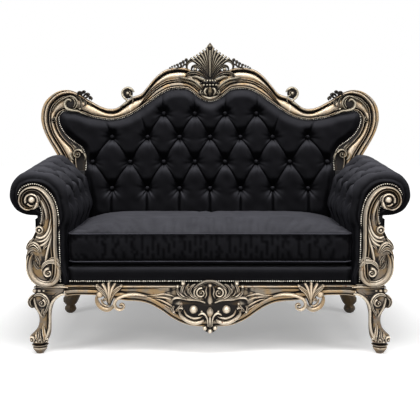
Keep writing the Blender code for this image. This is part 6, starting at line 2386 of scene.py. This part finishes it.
@dataclass(frozen=True)
class Cushion:
    """The loose box cushion: a cover sewn a little small, blown up by its filling, with piped edges."""

    half: float = 0.5590
    front: float = -0.0330
    rear: float = 0.4950
    low: float = 0.3520
    seam: float = 0.4840
    foot: float = 0.3740
    crown: float = 0.5095
    cell: float = 0.0105
    piping: float = 0.0029
    gathers: float = 0.0017
    pressure: float = 4.0
    cap: float = 0.024
    frames: int = 18
    quality: int = 6
    mass: float = 0.3
    stretch: float = 22.0
    shear: float = 8.0
    bending: float = 0.6
    shrink: float = -0.012
    margin: float = 0.008
    lump: float = 0.0012

    def build(self, shop: Workshop) -> None:
        """Makes the cushion and its piping.

        Args:
            shop: Where its pieces go.
        """
        bm = self.box()
        made = shop.cover("seat_cushion_cover", bm, ["seat_cushion"], body=Body.CUSHION)
        self.inflate(made)
        finer = made.modifiers.new("finer", "SUBSURF")
        finer.levels = finer.render_levels = 1
        rings = joined([self.cord(z) for z in (self.seam, self.foot)])
        piping = shop.finishes.piping
        shop.put("cushion_piping", rings, piping, Slot.VELVET, body=Body.CUSHION, crease=SOFT_CREASE)

    def pull(self, share: Values) -> Values:
        """How far a side is drawn in at its middle, from corner to corner."""
        return 0.004 * (1 - share**2)

    def edge(self, a: Array, b: Array, c: Array) -> Array:
        """Points of the box for shares from -1 to 1 in each direction.

        Args:
            a: Shares across.
            b: Shares from front to rear.
            c: Shares upwards.

        Returns:
            The points.
        """
        middle, reach = (self.front + self.rear) / 2, (self.rear - self.front) / 2
        corner = 0.022 * np.clip((np.abs(a) - 0.94) / 0.06, 0, 1) ** 2
        corner *= np.clip((np.abs(b) - 0.90) / 0.10, 0, 1) ** 2
        x = a * (self.half - self.pull(b) - corner * 0.5)
        y = middle + b * (reach - self.pull(a) - corner * 0.5)
        over = self.seam + (self.crown - self.seam) * (c - 0.7) / 0.3
        under = self.foot + (self.foot - self.low) * (c + 0.7) / 0.3
        side = self.foot + (self.seam - self.foot) * (c + 0.7) / 1.4
        return np.column_stack([x, y, np.where(np.abs(c) <= 0.7, side, np.where(c > 0, over, under))])

    def box(self) -> Shape:
        """The cover as it is sewn.

        Returns:
            A closed mesh.
        """
        bm = bmesh.new()
        bmesh.ops.create_cube(bm, size=2)
        wide, deep, high = (2 * self.half, self.rear - self.front, self.seam - self.foot)
        for axis, size in ((0, wide), (1, deep), (2, high)):
            divided(bm, axis, round(size / self.cell))
        a, b, c = points_of(bm).T
        level = np.abs(c) > 0.999
        crowned = 0.7 + 0.3 * puff((1 - np.abs(a)) / 0.35) * puff((1 - np.abs(b)) / 0.5)
        points = self.edge(a, b, np.where(level, np.sign(c) * crowned, 0.7 * c))
        lumps = self.lump * wave(points[:, :2], 0.16)
        lumps *= puff((1 - np.abs(a)) / 0.1) * puff((1 - np.abs(b)) / 0.2)
        points[:, 2] += np.where(level & (c > 0), lumps, 0.0)
        down = (self.seam - points[:, 2]) / (self.seam - self.foot)
        front = (b < -0.999) & ~level
        deep = self.gathers * ease((0.50 - np.abs(points[:, 0])) / 0.15) * ease(down / 0.2)
        deep *= 1 - 0.7 * np.clip(down, 0, 1)
        points[:, 1] -= np.where(front, deep * wave(points[:, :1], 0.045), 0.0)
        return outward(placed(bm, points))

    def cord(self, z: float) -> Shape:
        """Piping round the cushion at one height.

        Args:
            z: Its height.

        Returns:
            A closed ring.
        """
        steps, sides = 520, 8

        def place(u: Array, v: Array) -> Array:
            """Points of the cord, ring by ring."""
            angle = 2 * math.pi * u
            power = 0.06
            a = np.sign(np.cos(angle)) * np.abs(np.cos(angle)) ** power
            b = np.sign(np.sin(angle)) * np.abs(np.sin(angle)) ** power
            top = np.maximum(np.abs(a), np.abs(b))
            a, b = a / top, b / top
            spot = self.edge(a, b, np.zeros(len(a)))
            spot[:, 2] = z
            out = np.column_stack([np.abs(a) ** 24 * np.sign(a), np.abs(b) ** 24 * np.sign(b)])
            out /= np.maximum(np.linalg.norm(out, axis=1, keepdims=True), 1e-6)
            ring = 2 * math.pi * v
            spot[:, :2] += out * (self.piping * np.cos(ring))[:, None]
            spot[:, 2] += self.piping * np.sin(ring)
            return spot

        bm = shaped(steps, sides, place, closed=True)
        bmesh.ops.remove_doubles(bm, verts=bm.verts[:], dist=1e-6)
        return outward(bm)

    def inflate(self, made: bpy.types.Object) -> None:
        """Lets the filling blow the cover up, held along its seams and round its underside.

        Args:
            made: The cover, whose mesh is changed.
        """
        mesh = made.data
        before = coordinates(mesh)
        held = made.vertex_groups.new(name="held")
        for k, (x, y, z) in enumerate(before.tolist()):
            seam = min(abs(z - self.seam), abs(z - self.foot)) < 0.0015
            inner = self.front + self.margin <= y - FEET_Y <= self.rear - self.margin
            rim = abs(x) > self.half - self.margin or not inner
            if (seam and rim) or z < self.foot - 0.004:
                held.add([k], 1.0, "REPLACE")
        cloth = made.modifiers.new("filling", "CLOTH")
        settings = cloth.settings
        settings.quality = self.quality
        settings.mass = self.mass
        settings.tension_stiffness = settings.compression_stiffness = self.stretch
        settings.shear_stiffness = self.shear
        settings.bending_stiffness = self.bending
        settings.use_pressure = True
        settings.uniform_pressure_force = self.pressure
        settings.vertex_group_mass = "held"
        settings.shrink_min = self.shrink
        settings.effector_weights.gravity = 0.0
        cloth.collision_settings.use_self_collision = False
        cloth.collision_settings.use_collision = False
        scene = bpy.context.scene
        for frame in range(1, self.frames + 1):
            scene.frame_set(frame)
        blown = made.evaluated_get(bpy.context.evaluated_depsgraph_get())
        after = coordinates(blown.data)
        shift = after - before
        far = np.linalg.norm(shift, axis=1, keepdims=True)
        after = before + shift * np.minimum(1.0, self.cap / np.maximum(far, 1e-9))
        made.modifiers.remove(cloth)
        mesh.vertices.foreach_set("co", after.ravel())
        mesh.update()
        scene.frame_set(1)
        LOG.info("cushion: largest move %.1f mm", 1000 * float(far.max()))


@dataclass(frozen=True)
class Panels:
    """Flat or gently padded cloth: the front border, the deck, the covers outside and underneath."""

    cell: float = 0.012
    crown: float = 0.006
    rim: float = 0.012

    def sheet(self, node: str, axis: int, crown: float, edge: float, sign: float = 1.0) -> Shape:
        """A padded panel that fills a CAD node's box, crowned on both faces across one axis.

        Args:
            node: The CAD node.
            axis: The panel's thin axis, 0 to 2.
            crown: How far its faces are drawn in at its rim, in metres.
            edge: Width of that rim, in metres.
            sign: Side that is crowned: 1 or -1, or 0 for both.

        Returns:
            The panel, drawn with Y = 0 through the front feet.
        """
        low, high = (np.array(p) - (0, FEET_Y, 0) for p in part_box(node))
        size = high - low
        bm = bmesh.new()
        bmesh.ops.create_cube(bm, size=2)
        for k in range(3):
            if k != axis:
                divided(bm, k, int(np.clip(size[k] / self.cell, 4, 110)))
        flat = points_of(bm)
        far = np.ones(len(flat))
        for k in range(3):
            if k != axis:
                far *= puff((1 - np.abs(flat[:, k])) * size[k] / 2 / edge)
        crowned = (flat[:, axis] * sign > 0) | (sign == 0)
        half = size[axis] / 2
        flat[:, axis] *= np.where(crowned, 1 - crown / half * (1 - far), 1.0)
        return outward(placed(bm, (low + high) / 2 + flat * size / 2))

    def build(self, shop: Workshop, frame: BackFrame) -> None:
        """Makes the panels.

        Args:
            shop: Where its pieces go.
            frame: The frame that the back's cover follows.
        """
        border = self.sheet("front_border", 1, self.crown, self.rim, -1)
        deck = self.sheet("deck_pad", 2, 0.006, 0.020)
        dust = self.sheet("dust_cover", 2, 0.0008, 0.010, 0)
        lining = shop.finishes.lining
        pads = (
            shop.cover("front_border_cover", border, ["front_border"]),
            shop.put("deck_cover", deck, lining, Slot.LINING, ["deck_pad"], crease=SOFT_CREASE),
        )
        shop.put("dust_cover_cloth", dust, lining, Slot.LINING, ["dust_cover"], crease=SOFT_CREASE)
        shop.cover("back_cover_cloth", self.back(frame), ["back_cover"])
        for side in Side:
            name = f"arm_cover_{side.mark}"
            shop.cover(f"{name}_cloth", self.outside(name), [name])

    def outside(self, node: str) -> Shape:
        """The cover outside an arm, its rear edge on the leaning back.

        Args:
            node: The CAD node.

        Returns:
            A closed mesh.
        """
        bm = self.sheet(node, 0, 0.003, 0.015, 0)
        low, high = (end(v.co.y for v in bm.verts) for end in (min, max))
        for v in bm.verts:
            rear = back_y(v.co.z, ARM_REAR)
            v.co.y = low + (v.co.y - low) * (rear - low) / (high - low)
        return bm

    def back(self, frame: BackFrame) -> Shape:
        """The cover over the whole outside of the back.

        Args:
            frame: The frame that it follows.

        Returns:
            A closed mesh.
        """
        pairs = frame.outline()
        line = (pairs[:, :2] + pairs[:, 2:]) / 2
        foot = np.array([(0.657, 0.297), (0.657, 0.676)])
        half = smooth(np.vstack([foot, line[::12], line[-1:]]), 150)
        edge = np.vstack([half, half[::-1] * (-1, 1)])
        bm = bmesh.new()
        bmesh.ops.create_grid(bm, x_segments=130, y_segments=72, size=0.5)
        size, middle = (1.52, 0.86), (0.0, 0.72)
        trimmed(bm, inside(points_of(bm)[:, :2] * size + middle, edge))
        flat, far = hemmed(bm, points_of(bm)[:, :2] * size + middle, edge)
        bulge = 0.0045 + 0.0090 * puff(far / 0.030) + 0.0008 * wave(flat, 0.3) * ease(far / 0.1)
        y = back_y(flat[:, 1], FRAME_BACK + GAP + bulge)
        return backed(placed(bm, np.column_stack([flat[:, 0], y, flat[:, 1]])), FRAME_BACK + GAP)


@dataclass(frozen=True)
class Structure:
    """The hidden woodwork and steel, whose CAD shapes stay and only get their finishes."""

    beech: tuple[str, ...] = (
        "back_board",
        "front_corner_block_l",
        "front_corner_block_r",
        "rear_corner_block_l",
        "rear_corner_block_r",
        "spring_rail_front",
    )
    covered: tuple[str, ...] = (
        "arm_frame_l",
        "arm_frame_r",
        "back_post_l",
        "back_post_r",
        "back_cross_rail",
        "spring_rail_rear",
    )
    leafed: tuple[str, ...] = ("rear_leg_l", "rear_leg_r", "rear_rail", "side_rail_l", "side_rail_r")
    steel: tuple[str, ...] = ("front_leg_bolt_l", "front_leg_bolt_r", "rear_leg_bolt_l", "rear_leg_bolt_r")

    def build(self, shop: Workshop) -> None:
        """Gives each its finish.

        Args:
            shop: Where the finishes are.
        """
        for name in self.beech:
            shop.dress(name, shop.finishes.beech)
        for name in self.covered:
            shop.dress(name, shop.finishes.lining)
        # These take the darker copy of the leaf, their painted shade.
        for name in self.leafed:
            shop.dress(name, shop.finishes.plain)
        for name in (*self.steel, *(f"seat_spring_{k}" for k in range(1, 7))):
            shop.dress(name, shop.finishes.spring)


@dataclass(frozen=True)
class Studio:
    """A pale floor, a white surround and broad soft lamps, with the camera at the photograph's place."""

    camera: tuple[float, float, float] = (0.0, -2.8737, 0.8977)
    tilt: float = 83.617
    lens: float = 62.6
    floor_shade: float = 0.80
    fill: float = 0.15
    # shadow is the floor's glow near the settee, kept low to paint shade there; it rises to 1 far away and to
    # near_level towards the front.
    shadow: float = 0.32
    shadow_reach: tuple[float, float] = (0.7, 2.0)
    near_level: float = 0.70
    near_reach: tuple[float, float] = (-0.10, -0.50)

    def build(self) -> None:
        """Sets the stage."""
        scene = bpy.context.scene
        scene.view_settings.view_transform = "Standard"
        eye = bpy.data.cameras.new("camera")
        eye.lens, eye.sensor_width, eye.clip_end = self.lens, 36, 100
        x, y, z = self.camera
        made = bpy.data.objects.new("camera", eye)
        made.location = (x, y + FEET_Y, z)
        made.rotation_euler = (math.radians(self.tilt), 0, 0)
        scene.collection.objects.link(made)
        scene.camera = made
        self.surround(scene)
        self.floor(scene)
        for name, place, aim, size, power in (
            ("overhead", (0.0, -1.1, 3.2), (0.0, 0.1, 0.6), (3.0, 1.1), 120),
            ("left", (-3.0, -2.2, 2.2), (0.0, 0.0, 0.6), (0.7, 1.6), 34),
            ("right", (3.0, -2.0, 2.4), (0.0, 0.0, 0.7), (0.7, 1.6), 30),
            ("front", (0.0, -4.2, 2.6), (0.0, 0.0, 0.7), (2.2, 0.6), 22),
        ):
            self.lamp(scene, name, place, aim, size, power)

    def seen(self, tree: Tree) -> Socket:
        """1 where the camera looks, or where a shiny surface mirrors, and 0 for other light."""
        path = add(tree, "ShaderNodeLightPath").outputs
        return worked(tree, "MAXIMUM", path["Is Camera Ray"], path["Is Glossy Ray"])

    def surround(self, scene: bpy.types.Scene) -> None:
        """White to the camera and in what mirrors, a soft grey to the object.

        Args:
            scene: The scene.
        """
        world = bpy.data.worlds.new("studio")
        scene.world = world
        world.use_nodes = True
        tree = world.node_tree
        strength = ranged(tree, self.seen(tree), self.fill, 1.0)
        connect(tree, tree.nodes["Background"], Color=(1, 1, 1, 1), Strength=strength)

    def floor(self, scene: bpy.types.Scene) -> None:
        """A broad pale floor, which keeps the shadow; it looks white far from the object.
        Its glow to the camera is weakest under and just behind the settee, which paints a soft shade round it
        besides the lamps' shadow.

        Args:
            scene: The scene.
        """
        bm = bmesh.new()
        bmesh.ops.create_grid(bm, x_segments=1, y_segments=1, size=14)
        mesh = bpy.data.meshes.new("floor")
        bm.to_mesh(mesh)
        bm.free()
        material = bpy.data.materials.new("white floor")
        material.use_nodes = True
        tree = material.node_tree
        place = add(tree, "ShaderNodeTexCoord").outputs["Object"]
        far = add(tree, "ShaderNodeVectorMath", {"operation": "LENGTH"}, i0=place).outputs["Value"]
        front = add(tree, "ShaderNodeSeparateXYZ", Vector=place).outputs["Y"]
        wide = ranged(tree, far, self.shadow, 1.0, *self.shadow_reach, "SMOOTHSTEP")
        near = ranged(tree, front, self.shadow, self.near_level, *self.near_reach, "SMOOTHSTEP")
        connect(
            tree,
            tree.nodes["Principled BSDF"],
            Base_Color=(self.floor_shade,) * 3 + (1,),
            Roughness=1.0,
            Specular_IOR_Level=0.0,
            Emission_Color=(1, 1, 1, 1),
            Emission_Strength=worked(tree, "MULTIPLY", self.seen(tree), worked(tree, "MAXIMUM", wide, near)),
        )
        mesh.materials.append(material)
        made = bpy.data.objects.new("floor", mesh)
        scene.collection.objects.link(made)

    def lamp(
        self, scene: bpy.types.Scene, name: str, place: Sequence, aim: Sequence, size: Sequence, power: float
    ) -> None:
        """A rectangular soft lamp that points at a spot.

        Args:
            scene: The scene.
            name: Its name.
            place: Where it hangs.
            aim: The spot.
            size: Its width and height in metres.
            power: Its power in watts.
        """
        data = bpy.data.lights.new(name, "AREA")
        data.shape = "RECTANGLE"
        data.size, data.size_y = size
        data.energy = power
        made = bpy.data.objects.new(name, data)
        made.location = place
        made.rotation_euler = (Vector(aim) - Vector(place)).to_track_quat("-Z", "Y").to_euler()
        scene.collection.objects.link(made)


def main() -> None:
    """Builds every assembly in order, paints wax and shade on the leaf and light and shade on the velvet, and
    sets the studio.
    """
    logging.basicConfig(level=logging.INFO, format="%(message)s")
    shop = Workshop(Finishes())
    frame = BackFrame()
    frame.build(shop)
    SeatRail().build(shop)
    Legs().build(shop)
    ArmPosts().build(shop)
    Nails().build(shop, frame)
    BackPad().build(shop, frame)
    ArmPads().build(shop)
    Panels().build(shop, frame)
    Structure().build(shop)
    WaxAndShade().age(shop.leafed)
    Cushion().build(shop)
    PaintedVelvetLight().brush(shop.cloth)
    Studio().build()


if __name__ == "__main__":
    main()
